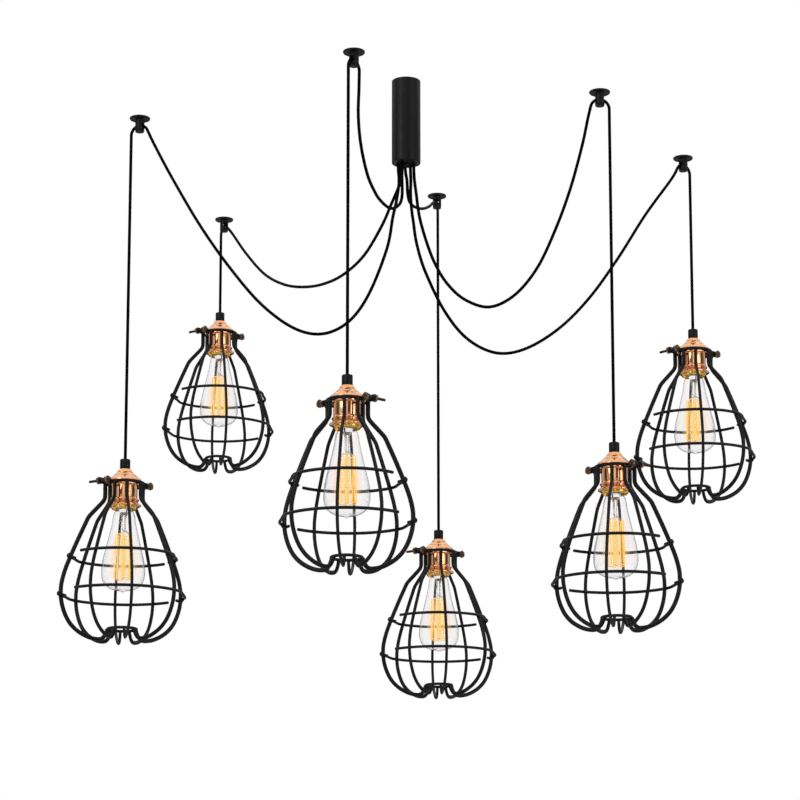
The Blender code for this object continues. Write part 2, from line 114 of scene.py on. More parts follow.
# A line of edges, drawn from one vertex by extruding it from point to point
def drawLine(points, name, closed=False):
    deselectAll()
    bpy.ops.mesh.primitive_plane_add(size=mm, location=(0, 0, 0))
    obj = bpy.context.object
    obj.name = name
    bpy.ops.object.mode_set(mode="EDIT")
    bpy.ops.mesh.merge(type="CENTER")
    bpy.ops.transform.translate(value=points[0])
    for before, after in zip(points, points[1:]):
        step = Vector(after) - Vector(before)
        bpy.ops.mesh.extrude_region_move(TRANSFORM_OT_translate={"value": step})
    if closed:
        bpy.ops.mesh.select_all(action="DESELECT")
        work = bmesh.from_edit_mesh(obj.data)
        for vert in work.verts:
            vert.select = len(vert.link_edges) == 1
        work.select_flush(True)
        bmesh.update_edit_mesh(obj.data)
        bpy.ops.mesh.edge_face_add()
    bpy.ops.object.mode_set(mode="OBJECT")
    return obj


# Points about one step apart on a smooth curve through the route's points
def smoothPoints(route, step):
    ends = [route[0] * 2 - route[1], *route, route[-1] * 2 - route[-2]]
    fine = []
    for before, start, end, after in zip(ends, ends[1:], ends[2:], ends[3:]):
        bend = 2 * before - 5 * start + 4 * end - after
        twist = 3 * start - before - 3 * end + after
        pieces = max(1, round((end - start).length / step))
        for index in range(pieces):
            t = index / pieces
            fine.append(0.5 * (2 * start + (end - before) * t + bend * t * t + twist * t ** 3))
    fine.append(route[-1])
    return fine


def lengthOf(points):
    return sum((after - before).length for before, after in zip(points, points[1:]))


# A node with its settings, and its inputs each set to a value or linked to another node's output
def addNode(tree, kind, inputs=None, **settings):
    node = tree.nodes.new(kind)
    for name, value in settings.items():
        setattr(node, name, value)
    for name, value in (inputs or {}).items():
        if isinstance(value, bpy.types.NodeSocket):
            tree.links.new(value, node.inputs[name])
        else:
            node.inputs[name].default_value = value
    return node


def calculate(tree, operation, first, second=0.0):
    return addNode(tree, "ShaderNodeMath", {0: first, 1: second}, operation=operation).outputs[0]


def spread(tree, value, low, high, newLow=0.0, newHigh=1.0, ease="LINEAR"):
    inputs = {"Value": value, "From Min": low, "From Max": high, "To Min": newLow, "To Max": newHigh}
    return addNode(tree, "ShaderNodeMapRange", inputs, interpolation_type=ease).outputs["Result"]


def newMaterial(name, colour, roughness, metallic=0.0):
    material = bpy.data.materials.new(name)
    material.use_nodes = True
    material.diffuse_color = (*colour, 1)
    tree = material.node_tree
    shader = tree.nodes["Principled BSDF"]
    shader.inputs["Base Color"].default_value = (*colour, 1)
    shader.inputs["Roughness"].default_value = roughness
    shader.inputs["Metallic"].default_value = metallic
    return material, tree, shader


# Camera and light

cameraPlan = {
    "place": (-0.0004, -3.4057, -1.2968),
    "pitch": 9.479,
    "yaw": 0.142,
    "lens": 111.19,
    "shift": 0.2226,
    "sensor": 36.0,
    "farthest": 50,
}


def addCamera():
    turn = (math.radians(90 + cameraPlan["pitch"]), 0, math.radians(cameraPlan["yaw"]))
    bpy.ops.object.camera_add(location=cameraPlan["place"], rotation=turn)
    camera = bpy.context.object
    camera.name = "photoCamera"
    camera.data.sensor_width = cameraPlan["sensor"]
    camera.data.lens = cameraPlan["lens"]
    camera.data.shift_y = cameraPlan["shift"]
    camera.data.clip_end = cameraPlan["farthest"]
    bpy.context.scene.camera = camera


# Levels are strengths of the world's white; panels are (place from left to right, level)
lightPlan = {
    "key": {"place": (-2.6, -3.0, 0.5), "size": 2.4, "power": 34, "aim": (0.0, 0.2, -0.5)},
    "fill": {"place": (2.8, -2.4, -0.9), "size": 2.4, "power": 20, "aim": (0.0, 0.2, -0.5)},
    "skyLevel": 0.62,
    "whiteLevel": 1.0,
    "backLevel": 0.10,
    "backRange": (0.97, 0.5),
    "aboveRange": (0.22, 0.55),
    "panels": ((0.01, 0.20), (0.10, 0.8), (0.16, 1.0), (0.21, 0.08), (0.36, 0.10), (0.42, 1.0),
               (0.52, 1.0), (0.57, 0.06), (0.73, 0.08), (0.79, 1.0), (0.90, 0.9), (0.99, 0.20)),
}


def addLights():
    for name in ("key", "fill"):
        plan = lightPlan[name]
        place = Vector(plan["place"])
        turn = (Vector(plan["aim"]) - place).to_track_quat("-Z", "Y").to_euler()
        bpy.ops.object.light_add(type="AREA", location=place, rotation=turn)
        lamp = bpy.context.object
        lamp.name = name + "Light"
        lamp.data.shape = "DISK"
        lamp.data.size = plan["size"]
        lamp.data.energy = plan["power"]


# 1 for the rays of the camera and the ones that have passed through glass
def seesWhite(tree):
    path = addNode(tree, "ShaderNodeLightPath").outputs
    return calculate(tree, "MAXIMUM", path["Is Camera Ray"], path["Is Transmission Ray"])


# What shiny pieces mirror: bright panels with dark gaps between them, dark behind the lamp, bright above
def mirroredLevel(tree):
    direction = addNode(tree, "ShaderNodeTexCoord").outputs["Generated"]
    parts = addNode(tree, "ShaderNodeSeparateXYZ", {0: direction}).outputs
    behind = spread(tree, parts["Y"], *lightPlan["backRange"], lightPlan["backLevel"], 1.0, "SMOOTHSTEP")
    panels = addNode(tree, "ShaderNodeValToRGB", {"Fac": spread(tree, parts["X"], -1.0, 1.0)})
    stops = panels.color_ramp.elements
    for place, level in lightPlan["panels"]:
        stops.new(place).color = (level, level, level, 1)
    stops.remove(stops[0])
    stops.remove(stops[-1])
    around = calculate(tree, "MULTIPLY", behind, panels.outputs["Color"])
    above = spread(tree, parts["Z"], *lightPlan["aboveRange"], ease="SMOOTHSTEP")
    return calculate(tree, "MAXIMUM", around, above)


def addWorld():
    world = bpy.context.scene.world or bpy.data.worlds.new("studio")
    bpy.context.scene.world = world
    world.use_nodes = True
    tree = world.node_tree
    tree.nodes.clear()
    glossy = addNode(tree, "ShaderNodeLightPath").outputs["Is Glossy Ray"]
    inputs = {"Factor": glossy, "A": lightPlan["skyLevel"], "B": mirroredLevel(tree)}
    unseen = addNode(tree, "ShaderNodeMix", inputs).outputs["Result"]
    inputs = {"Factor": seesWhite(tree), "A": unseen, "B": lightPlan["whiteLevel"]}
    level = addNode(tree, "ShaderNodeMix", inputs).outputs["Result"]
    sky = addNode(tree, "ShaderNodeBackground", {"Color": (1, 1, 1, 1), "Strength": level})
    addNode(tree, "ShaderNodeOutputWorld", {"Surface": sky.outputs[0]})


# The floor lies so far down that a view from below is still above it
floorPlan = {"drop": 6.0, "size": 36.0, "colour": (0.86, 0.86, 0.85), "roughness": 0.7}


def addFloor():
    deselectAll()
    bpy.ops.mesh.primitive_plane_add(size=floorPlan["size"], location=(0, 0, -floorPlan["drop"]))
    floor = bpy.context.object
    floor.name = "studioFloor"
    material, tree, shader = newMaterial("paleFloor", floorPlan["colour"], floorPlan["roughness"])
    white = addNode(tree, "ShaderNodeEmission")
    inputs = {0: seesWhite(tree), 1: shader.outputs[0], 2: white.outputs[0]}
    choose = addNode(tree, "ShaderNodeMixShader", inputs)
    tree.links.new(choose.outputs[0], tree.nodes["Material Output"].inputs["Surface"])
    floor.data.materials.append(material)


# Materials

def scaled(tree, value, share):
    return calculate(tree, "MULTIPLY", value, share)


def noise(tree, place, scale, detail, roughness=0.5):
    inputs = {"Vector": place, "Scale": scale, "Detail": detail, "Roughness": roughness}
    return addNode(tree, "ShaderNodeTexNoise", inputs).outputs["Fac"]


def objectPlace(tree):
    return addNode(tree, "ShaderNodeTexCoord").outputs["Object"]


def mixColours(tree, share, first, second):
    node = addNode(tree, "ShaderNodeMix", data_type="RGBA")
    for socket, value in ((node.inputs[0], share), (node.inputs[6], first), (node.inputs[7], second)):
        if isinstance(value, bpy.types.NodeSocket):
            tree.links.new(value, socket)
        else:
            socket.default_value = (*value, 1)
    return node.outputs[2]


def newGroup(name, takes, gives):
    group = bpy.data.node_groups.new(name, "ShaderNodeTree")
    for label, value in takes.items():
        socket = group.interface.new_socket(label, in_out="INPUT", socket_type="NodeSocketFloat")
        socket.default_value = value
    for label in gives:
        group.interface.new_socket(label, in_out="OUTPUT", socket_type="NodeSocketFloat")
    return group, group.nodes.new("NodeGroupInput").outputs, group.nodes.new("NodeGroupOutput").inputs


# Fine even grain, as of a sprayed or moulded surface: a height, and a mask of broader blotches
def makeGrainGroup():
    group, takes, gives = newGroup("surfaceGrain", {"Grain": 1600.0, "Blotches": 60.0}, ("Height", "Blotch"))
    place = objectPlace(group)
    fine = noise(group, place, takes["Grain"], 3.0, 0.55)
    pits = addNode(group, "ShaderNodeTexVoronoi", {"Vector": place, "Scale": takes["Grain"]})
    broad = noise(group, place, takes["Blotches"], 4.0, 0.6)
    height = calculate(group, "ADD", fine, scaled(group, pits.outputs["Distance"], 0.35))
    group.links.new(height, gives["Height"])
    group.links.new(spread(group, broad, 0.35, 0.68), gives["Blotch"])
    return group


# Where corners and rims have rubbed bare
def makeWearGroup():
    group, takes, gives = newGroup("rubbedEdges", {"Start": 0.52, "Breakup": 240.0}, ("Mask",))
    point = addNode(group, "ShaderNodeNewGeometry").outputs["Pointiness"]
    edge = spread(group, point, takes["Start"], calculate(group, "ADD", takes["Start"], 0.07))
    patch = spread(group, noise(group, objectPlace(group), takes["Breakup"], 5.0), 0.42, 0.62)
    group.links.new(calculate(group, "MULTIPLY", edge, patch), gives["Mask"])
    return group


# Dust that has settled on what faces up
def makeDustGroup():
    group, takes, gives = newGroup("settledDust", {"Amount": 0.5, "Patches": 90.0}, ("Mask",))
    normal = addNode(group, "ShaderNodeNewGeometry").outputs["Normal"]
    up = addNode(group, "ShaderNodeSeparateXYZ", {0: normal}).outputs["Z"]
    patch = spread(group, noise(group, objectPlace(group), takes["Patches"], 6.0, 0.7), 0.35, 0.75)
    mask = calculate(group, "MULTIPLY", spread(group, up, 0.35, 0.98), patch)
    group.links.new(calculate(group, "MULTIPLY", mask, takes["Amount"]), gives["Mask"])
    return group


# The rings that a spinning tool or a polishing mop leaves round an upright axis
def makeSpunGroup():
    group, takes, gives = newGroup("spunRings", {"Rings": 2600.0, "Waver": 0.25}, ("Height", "Streak"))
    place = objectPlace(group)
    parts = addNode(group, "ShaderNodeSeparateXYZ", {0: place})
    level = addNode(group, "ShaderNodeCombineXYZ", {"Z": parts.outputs["Z"]}).outputs[0]
    fine = noise(group, level, takes["Rings"], 2.0)
    soft = noise(group, place, 70.0, 3.0)
    height = calculate(group, "ADD", fine, calculate(group, "MULTIPLY", soft, takes["Waver"]))
    group.links.new(height, gives["Height"])
    group.links.new(spread(group, fine, 0.3, 0.7), gives["Streak"])
    return group


# The cores of a round cable, showing faintly as long slow turns under its sheath
def makeLayGroup():
    group, takes, gives = newGroup("cableLay", {"Cores": 3.0, "Turns": 18.0}, ("Height",))
    distance = addNode(group, "ShaderNodeAttribute", attribute_name="tubeDistance").outputs["Fac"]
    around = addNode(group, "ShaderNodeAttribute", attribute_name="tubeAround").outputs["Vector"]
    parts = addNode(group, "ShaderNodeSeparateXYZ", {0: around}).outputs
    turn = calculate(group, "ARCTAN2", parts["Y"], parts["X"])
    lay = calculate(group, "MULTIPLY", distance, scaled(group, takes["Turns"], math.tau))
    wave = calculate(group, "ADD", calculate(group, "MULTIPLY", turn, takes["Cores"]), lay)
    group.links.new(calculate(group, "SINE", wave), gives["Height"])
    return group


groups = {
    "grain": makeGrainGroup(),
    "wear": makeWearGroup(),
    "dust": makeDustGroup(),
    "spun": makeSpunGroup(),
    "lay": makeLayGroup(),
}


def useGroup(tree, name, inputs=None):
    return addNode(tree, "ShaderNodeGroup", inputs, node_tree=groups[name]).outputs


def addBump(tree, shader, height, strength, depth):
    inputs = {"Height": height, "Strength": strength, "Distance": depth}
    tree.links.new(addNode(tree, "ShaderNodeBump", inputs).outputs[0], shader.inputs["Normal"])


# In the plans of the finishes, roughness runs from one value to another, and bump is strength and depth
blackPlan = {
    "colour": (0.0056, 0.0056, 0.0061),
    "bare": (0.045, 0.043, 0.042),
    "bareShare": 0.4,
    "dust": (0.10, 0.097, 0.094),
    "dustRoughness": 0.5,
    "roughness": (0.33, 0.43),
    "shine": 0.17,
    "grain": {"Grain": 1500.0, "Blotches": 55.0},
    "wear": {"Start": 0.54, "Breakup": 260.0},
    "settled": {"Amount": 0.10, "Patches": 130.0},
    "bump": (0.35, 0.08 * mm),
}


def makeBlackPaint():
    plan = blackPlan
    material, tree, shader = newMaterial("blackPowderCoat", plan["colour"], plan["roughness"][1])
    grain = useGroup(tree, "grain", plan["grain"])
    wear = useGroup(tree, "wear", plan["wear"])["Mask"]
    dust = useGroup(tree, "dust", plan["settled"])["Mask"]
    worn = mixColours(tree, scaled(tree, wear, plan["bareShare"]), plan["colour"], plan["bare"])
    tree.links.new(mixColours(tree, dust, worn, plan["dust"]), shader.inputs["Base Color"])
    rough = spread(tree, grain["Blotch"], 0.0, 1.0, *plan["roughness"])
    rough = calculate(tree, "ADD", rough, scaled(tree, dust, plan["dustRoughness"]))
    tree.links.new(rough, shader.inputs["Roughness"])
    shader.inputs["Specular IOR Level"].default_value = plan["shine"]
    addBump(tree, shader, grain["Height"], *plan["bump"])
    return material


sheathPlan = {
    "colour": (0.0016, 0.0016, 0.0018),
    "dust": (0.05, 0.048, 0.046),
    "roughness": (0.50, 0.64),
    "shine": 0.02,
    "grain": {"Grain": 2200.0, "Blotches": 35.0},
    "settled": {"Amount": 0.05, "Patches": 70.0},
    "grainShare": 0.12,
    "layShare": 0.04,
    "bump": (0.12, 0.05 * mm),
}


def makeSheath():
    plan = sheathPlan
    material, tree, shader = newMaterial("cordSheath", plan["colour"], plan["roughness"][0])
    grain = useGroup(tree, "grain", plan["grain"])
    lay = useGroup(tree, "lay")["Height"]
    dust = useGroup(tree, "dust", plan["settled"])["Mask"]
    tree.links.new(mixColours(tree, dust, plan["colour"], plan["dust"]), shader.inputs["Base Color"])
    rough = spread(tree, grain["Blotch"], 0.0, 1.0, *plan["roughness"])
    tree.links.new(rough, shader.inputs["Roughness"])
    shader.inputs["Specular IOR Level"].default_value = plan["shine"]
    fine = scaled(tree, grain["Height"], plan["grainShare"])
    height = calculate(tree, "ADD", scaled(tree, lay, plan["layShare"]), fine)
    addBump(tree, shader, height, *plan["bump"])
    return material


# Metals polished in fine rings over duller blotches; the copper's edges are rubbed bright too
spunPlans = {
    "spunCopper": {
        "colour": (0.96, 0.50, 0.26),
        "dull": (0.60, 0.24, 0.11),
        "dullShare": 0.22,
        "roughness": (0.07, 0.14),
        "spun": {"Rings": 2400.0, "Waver": 0.3},
        "grain": {"Grain": 900.0, "Blotches": 85.0},
        "wear": {"Start": 0.53, "Breakup": 420.0},
        "edge": (0.98, 0.72, 0.52),
        "edgeShare": 0.5,
        "dullRoughness": 0.05,
        "bump": (0.18, 0.05 * mm),
    },
    "polishedBrass": {
        "colour": (0.98, 0.62, 0.11),
        "dull": (0.80, 0.36, 0.06),
        "dullShare": 0.4,
        "roughness": (0.06, 0.13),
        "spun": {"Rings": 3000.0, "Waver": 0.1},
        "grain": {"Grain": 700.0, "Blotches": 120.0},
        "bump": (0.12, 0.03 * mm),
    },
}


def makeSpun(name):
    plan = spunPlans[name]
    material, tree, shader = newMaterial(name, plan["colour"], plan["roughness"][0], 1.0)
    spun = useGroup(tree, "spun", plan["spun"])
    blotch = useGroup(tree, "grain", plan["grain"])["Blotch"]
    colour = mixColours(tree, scaled(tree, blotch, plan["dullShare"]), plan["colour"], plan["dull"])
    rough = spread(tree, spun["Streak"], 0.0, 1.0, *plan["roughness"])
    if "wear" in plan:
        rubbed = scaled(tree, useGroup(tree, "wear", plan["wear"])["Mask"], plan["edgeShare"])
        colour = mixColours(tree, rubbed, colour, plan["edge"])
        rough = calculate(tree, "ADD", rough, scaled(tree, blotch, plan["dullRoughness"]))
    tree.links.new(colour, shader.inputs["Base Color"])
    tree.links.new(rough, shader.inputs["Roughness"])
    addBump(tree, shader, spun["Height"], *plan["bump"])
    return material


# Finishes that drift between two colours and two roughnesses in broad blotches
blotchedPlans = {
    "wornBronze": {
        "colours": ((0.022, 0.015, 0.012), (0.10, 0.056, 0.036)),
        "roughness": (0.30, 0.52),
        "metallic": 0.85,
        "grain": {"Grain": 1100.0, "Blotches": 210.0},
        "wear": {"Start": 0.51, "Breakup": 600.0},
        "edge": (0.42, 0.27, 0.18),
        "bump": (0.3, 0.08 * mm),
    },
    "nickelWire": {
        "colours": ((0.62, 0.59, 0.56), (0.42, 0.38, 0.34)),
        "roughness": (0.18, 0.36),
        "metallic": 1.0,
        "grain": {"Grain": 1800.0, "Blotches": 300.0},
    },
    "zincPlate": {
        "colours": ((0.60, 0.60, 0.59), (0.40, 0.41, 0.42)),
        "roughness": (0.28, 0.45),
        "metallic": 1.0,
        "grain": {"Grain": 500.0, "Blotches": 240.0},
        "bump": (0.2, 0.05 * mm),
    },
    "whitePorcelain": {
        "colours": ((0.82, 0.81, 0.78), (0.72, 0.70, 0.66)),
        "roughness": (0.3, 0.3),
        "metallic": 0.0,
        "grain": {"Grain": 800.0, "Blotches": 150.0},
        "bump": (0.2, 0.05 * mm),
    },
}


def makeBlotched(name):
    plan = blotchedPlans[name]
    material, tree, shader = newMaterial(name, plan["colours"][0], plan["roughness"][0], plan["metallic"])
    grain = useGroup(tree, "grain", plan["grain"])
    colour = mixColours(tree, grain["Blotch"], *plan["colours"])
    if "wear" in plan:
        colour = mixColours(tree, useGroup(tree, "wear", plan["wear"])["Mask"], colour, plan["edge"])
    tree.links.new(colour, shader.inputs["Base Color"])
    rough = spread(tree, grain["Blotch"], 0.0, 1.0, *plan["roughness"])
    tree.links.new(rough, shader.inputs["Roughness"])
    if "bump" in plan:
        addBump(tree, shader, grain["Height"], *plan["bump"])
    return material


# Painted shade: the glass's colour darkens towards its outline, standing in for the dark edges that refraction
# gives; power says how near to the outline that starts
glassPlan = {
    "ior": 1.28,
    "ripple": 34.0,
    "bump": (0.10, 0.5 * mm),
    "clearGlass": {"clear": (0.965, 0.952, 0.948), "rim": (0.30, 0.29, 0.31), "power": 4.0},
    "stemGlass": {"clear": (0.98, 0.97, 0.95), "rim": (0.5, 0.5, 0.52), "power": 2.0},
}


def facingEdge(tree):
    return addNode(tree, "ShaderNodeLayerWeight", {"Blend": 0.5}).outputs["Facing"]


def makeGlass(name):
    plan = glassPlan[name]
    material, tree, shader = newMaterial(name, plan["clear"], 0.0)
    # Painted shade: the colour is mixed towards a dark tone at the glass's outline
    rimShare = calculate(tree, "POWER", facingEdge(tree), plan["power"])
    tree.links.new(mixColours(tree, rimShare, plan["clear"], plan["rim"]), shader.inputs["Base Color"])
    shader.inputs["IOR"].default_value = glassPlan["ior"]
    shader.inputs["Transmission Weight"].default_value = 1.0
    addBump(tree, shader, noise(tree, objectPlace(tree), glassPlan["ripple"], 1.0), *glassPlan["bump"])
    return material


# The filament's coil is a pattern along its wire; the two shells round it are painted glare, glowing shells that
# stand in for the bloom of the lit filament
glowPlan = {
    "core": (1.0, 0.60, 0.07),
    "gap": (1.0, 0.38, 0.015),
    "strength": 1.25,
    "roughness": 0.5,
    "coilPitch": 1.1 * mm,
    "bump": (0.6, 0.1 * mm),
    "paintedGlowWide": {"colour": (1.0, 0.64, 0.22), "share": 0.34},
    "paintedGlowCore": {"colour": (1.0, 0.74, 0.20), "share": 0.55},
    "falloff": 1.5,
}


def makeFilament():
    material, tree, shader = newMaterial("hotFilament", (0, 0, 0), glowPlan["roughness"])
    distance = addNode(tree, "ShaderNodeAttribute", attribute_name="tubeDistance").outputs["Fac"]
    coil = calculate(tree, "SINE", scaled(tree, distance, math.tau / glowPlan["coilPitch"]))
    hot = mixColours(tree, spread(tree, coil, -1.0, 1.0), glowPlan["gap"], glowPlan["core"])
    tree.links.new(hot, shader.inputs["Emission Color"])
    shader.inputs["Emission Strength"].default_value = glowPlan["strength"]
    addBump(tree, shader, coil, *glowPlan["bump"])
    return material


# Painted glare: a glowing shell, thickest where one looks through its middle, nothing at its outline
def makePaintedGlow(name):
    plan = glowPlan[name]
    material, tree, shader = newMaterial(name, (0, 0, 0), 1.0)
    shader.inputs["Specular IOR Level"].default_value = 0.0
    shader.inputs["Emission Color"].default_value = (*plan["colour"], 1)
    shader.inputs["Emission Strength"].default_value = 1.0
    middle = calculate(tree, "SUBTRACT", 1.0, facingEdge(tree))
    middle = calculate(tree, "POWER", middle, glowPlan["falloff"])
    tree.links.new(scaled(tree, middle, plan["share"]), shader.inputs["Alpha"])
    return material


# Cords, in metres and degrees

cordPlan = {
    "radius": 0.0023,
    "step": 0.005,
    "sides": 16,
    "turn": 0.014,
    "approachSteps": 8,
    "leaveSteps": 10,
    "holeDrop": 0.0122,
    "ringRadius": 0.0116,
    "blockUnderside": -0.0483,
    "canopyDrop": 0.124,
    "holeAngles": (172, 134, -120, 96, 18, 58),
    "approachAngles": (58, 40, 80, 20, 72, 52),
    "blendAbove": 0.004,
    "blendBelow": 0.016,
}

# Each cord's route from the canopy to its hook: distance out from the canopy's axis, and height
swagRoutes = (
    ((0.0110, -0.150), (0.0145, -0.176), (0.0205, -0.202), (0.0300, -0.249), (0.0583, -0.314),
     (0.090, -0.351), (0.130, -0.364), (0.174, -0.351), (0.225, -0.311), (0.275, -0.252),
     (0.3245, -0.182), (0.371, -0.1045), (0.402, -0.048)),
    ((0.0140, -0.140), (0.0270, -0.153), (0.050, -0.170), (0.0835, -0.194), (0.144, -0.221),
     (0.217, -0.2305), (0.291, -0.226), (0.370, -0.2105), (0.451, -0.185), (0.533, -0.146),
     (0.613, -0.090), (0.680, -0.035)),
    ((0.0112, -0.148), (0.0106, -0.172), (0.0149, -0.186), (0.0251, -0.1955), (0.0362, -0.201),
     (0.046, -0.2025), (0.0562, -0.2015), (0.0708, -0.197), (0.0823, -0.190), (0.1017, -0.170),
     (0.1185, -0.132), (0.1255, -0.091), (0.1240, -0.050)),
    ((0.0120, -0.145), (0.0190, -0.159), (0.038, -0.1655), (0.070, -0.161), (0.1175, -0.150),
     (0.206, -0.1245), (0.291, -0.097), (0.383, -0.0635), (0.450, -0.036)),
    ((0.0120, -0.148), (0.0147, -0.169), (0.0172, -0.190), (0.0209, -0.210), (0.0304, -0.2425),
     (0.0425, -0.273), (0.060, -0.301), (0.0855, -0.323), (0.1205, -0.332), (0.157, -0.313), (0.190, -0.272),
     (0.2165, -0.216), (0.240, -0.152), (0.2585, -0.0855), (0.2680, -0.042)),
    ((0.0085, -0.150), (0.0080, -0.168), (0.0100, -0.192), (0.0129, -0.2085), (0.0190, -0.240),
     (0.0346, -0.279), (0.0697, -0.3315), (0.112, -0.366), (0.166, -0.378), (0.223, -0.362),
     (0.289, -0.3195), (0.3495, -0.262), (0.4085, -0.1895), (0.466, -0.1105), (0.523, -0.041)),
)


def down(drop):
    return Vector((0, 0, -drop))


def hookSpot(arm):
    return mountSpots[f"hook_face_{arm}"]


# A point of the cord's turn over its hook, counted from its top towards the hanging side
def bendPoint(arm, degrees):
    turn = math.radians(degrees)
    centre = hookSpot(arm) + down(cordPlan["holeDrop"] + cordPlan["turn"])
    out = hookSpot(arm).normalized() * cordPlan["turn"] * math.sin(turn)
    return centre + out - down(cordPlan["turn"] * math.cos(turn))


# The middle of a cord's hole in the canopy's floor, seen from above
def cordHole(arm):
    angle = math.radians(cordPlan["holeAngles"][arm - 1])
    return Vector((math.cos(angle), math.sin(angle), 0)) * cordPlan["ringRadius"]


def swagPoints(arm):
    hole = cordHole(arm)
    top = cordPlan["blockUnderside"]
    leave = -cordPlan["canopyDrop"] - 2 * cordPlan["radius"]
    route = [hole + Vector((0, 0, height)) for height in (top, (top + leave) / 2, leave)]
    for away, height in swagRoutes[arm - 1]:
        route.append(hookSpot(arm).normalized() * away + Vector((0, 0, height)))
    first = cordPlan["approachAngles"][arm - 1]
    steps = cordPlan["approachSteps"]
    bend = [bendPoint(arm, -first + first * count / steps) for count in range(steps + 1)]
    return smoothPoints(route + bend[:1], cordPlan["step"]) + bend[1:]


def hangingPoints(arm):
    steps = cordPlan["leaveSteps"]
    points = [bendPoint(arm, 90 * count / steps) for count in range(steps + 1)]
    last = points[-1]
    bottom = jointSpots[f"pendant_sway_{arm}"].z - cordPlan["radius"]
    pieces = round((last.z - bottom) / cordPlan["step"])
    for count in range(1, pieces + 1):
        points.append(Vector((last.x, last.y, last.z + (bottom - last.z) * count / pieces)))
    return points


# A round wire or cord along the points, with its distance and its turn kept for the materials
def tubeAlong(points, radius, name, sides=12, closed=False):
    drawLine(points, name, closed)
    bpy.ops.object.convert(target="CURVE")
    tube = bpy.context.object
    tube.data.twist_mode = "Z_UP" if closed else "MINIMUM"
    tube.data.bevel_depth = radius
    tube.data.bevel_resolution = (sides - 4) // 2
    tube.data.use_fill_caps = not closed
    bpy.ops.object.convert(target="MESH")
    tube = bpy.context.object
    tube.name = name
    markTube(tube, points, sides)
    return shadeSmooth(faceOutwards(tube, merge=True), 50)


def markTube(tube, points, sides):
    marks = [0.0]
    for before, after in zip(points, points[1:]):
        marks.append(marks[-1] + (after - before).length)
    first = tube.data.vertices[0].co
    if (first - points[0]).length > (first - points[-1]).length:
        marks.reverse()
    distance = tube.data.attributes.new("tubeDistance", "FLOAT", "POINT")
    around = tube.data.attributes.new("tubeAround", "FLOAT_VECTOR", "POINT")
    for index in range(len(tube.data.vertices)):
        ring = min(index // sides, len(marks) - 1)
        turn = math.tau * (index % sides) / sides
        distance.data[index].value = marks[ring]
        around.data[index].vector = (math.cos(turn), math.sin(turn), 0)


def dressCord(tube, route, material, replaced):
    tube.data.materials.append(material)
    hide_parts(replaced)
    print(f"{tube.name}: {lengthOf(route):.3f} m")


def addCords(material):
    for arm in arms:
        route = swagPoints(arm)
        swag = tubeAlong(route, cordPlan["radius"], f"swagCord{arm}", cordPlan["sides"])
        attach(swag, "root")
        dressCord(swag, route, material, f"swag_cord_{arm}")
        route = hangingPoints(arm)
        hanging = tubeAlong(route, cordPlan["radius"], f"hangingCord{arm}", cordPlan["sides"])
        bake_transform(hanging)
        dressCord(hanging, route, material, f"drop_cord_{arm}")


# Shared ways of shaping; from here on lengths are in millimetres, but places are in metres

# A line of (radius, height) pairs turned about Z
def turnProfile(profile, name, steps=48, soft=35):
    obj = drawLine([(radius * mm, 0, height * mm) for radius, height in profile], name)
    bpy.ops.object.mode_set(mode="EDIT")
    bpy.ops.mesh.select_all(action="SELECT")
    bpy.ops.mesh.spin(steps=steps, angle=math.tau, center=(0, 0, 0), axis=(0, 0, 1))
    return shadeSmooth(faceOutwards(obj, merge=True), soft)


def addCylinder(name, sides, radius, height, place):
    deselectAll()
    bpy.ops.mesh.primitive_cylinder_add(vertices=sides, radius=radius * mm, depth=height * mm,
                                        location=place)
    obj = applyPlace(bpy.context.object)
    obj.name = name
    return obj


def softenEdges(obj, width):
    bevel = obj.modifiers.new("softEdges", "BEVEL")
    bevel.width = width * mm
    bevel.segments = 2
    bevel.limit_method = "ANGLE"
    bevel.angle_limit = math.radians(35)
    return shadeSmooth(applyAll(obj), 40)


# What a cutter leaves of a piece, or shares with it
def cutWith(obj, cutter, operation="DIFFERENCE"):
    cut = obj.modifiers.new("cut", "BOOLEAN")
    cut.operation = operation
    cut.solver = "EXACT"
    cut.object = cutter
    applyAll(obj)
    bpy.data.objects.remove(cutter)
    return obj


# A copy with its own mesh, mirrored left to right or not, turned about Z and put in place
def placeCopy(pattern, name, place, turn=0.0, mirror=False):
    makeActive(pattern)
    bpy.ops.object.duplicate()
    obj = bpy.context.object
    obj.name = name
    obj.scale.x = -1 if mirror else 1
    obj.rotation_euler.z = turn
    obj.location = place
    applyPlace(obj)
    return faceOutwards(obj) if mirror else obj


# The middle of an arm's collar
def collarSpot(arm):
    return jointSpots[f"guard_turn_{arm}"]


def dress(obj, material, body, replaced):
    obj.data.materials.clear()
    obj.data.materials.append(material)
    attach(obj, body)
    if replaced:
        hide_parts(replaced)


# Cages

# Angles are in degrees, counted from +X towards the front
cagePlan = {
    "wire": 2.2,
    "uprightDepth": 6.34,
    "uprightWidth": 4.4,
    "angles": (121, 82, 35, -19, -60, -97, -140, -184),
    "turns": (6.7, 4.5, 1.3, -0.9, -5.3, -7.2),
    "outline": ((28.4, -0.5), (28.4, -10), (28.4, -20.0), (29.4, -25.0), (32.4, -29.6), (40.4, -38.6),
                (47.8, -46.8), (51.8, -52.0), (54.8, -58.4), (65.7, -83.5), (76.5, -110), (84.2, -131),
                (88.9, -150), (89.8, -164), (88.4, -179), (83.6, -195), (76.4, -208.5), (66.8, -218.8),
                (56.2, -225.8), (47.0, -229.8), (39.0, -231.6), (32.0, -231.9), (27.4, -229.6),
                (24.4, -225.4), (22.4, -221.0), (21.2, -217.0)),
    "outlineStep": 3.0,
    "sides": 14,
    "footRadius": 21.0,
    "footDrop": 216.5,
    "footSteps": 64,
}

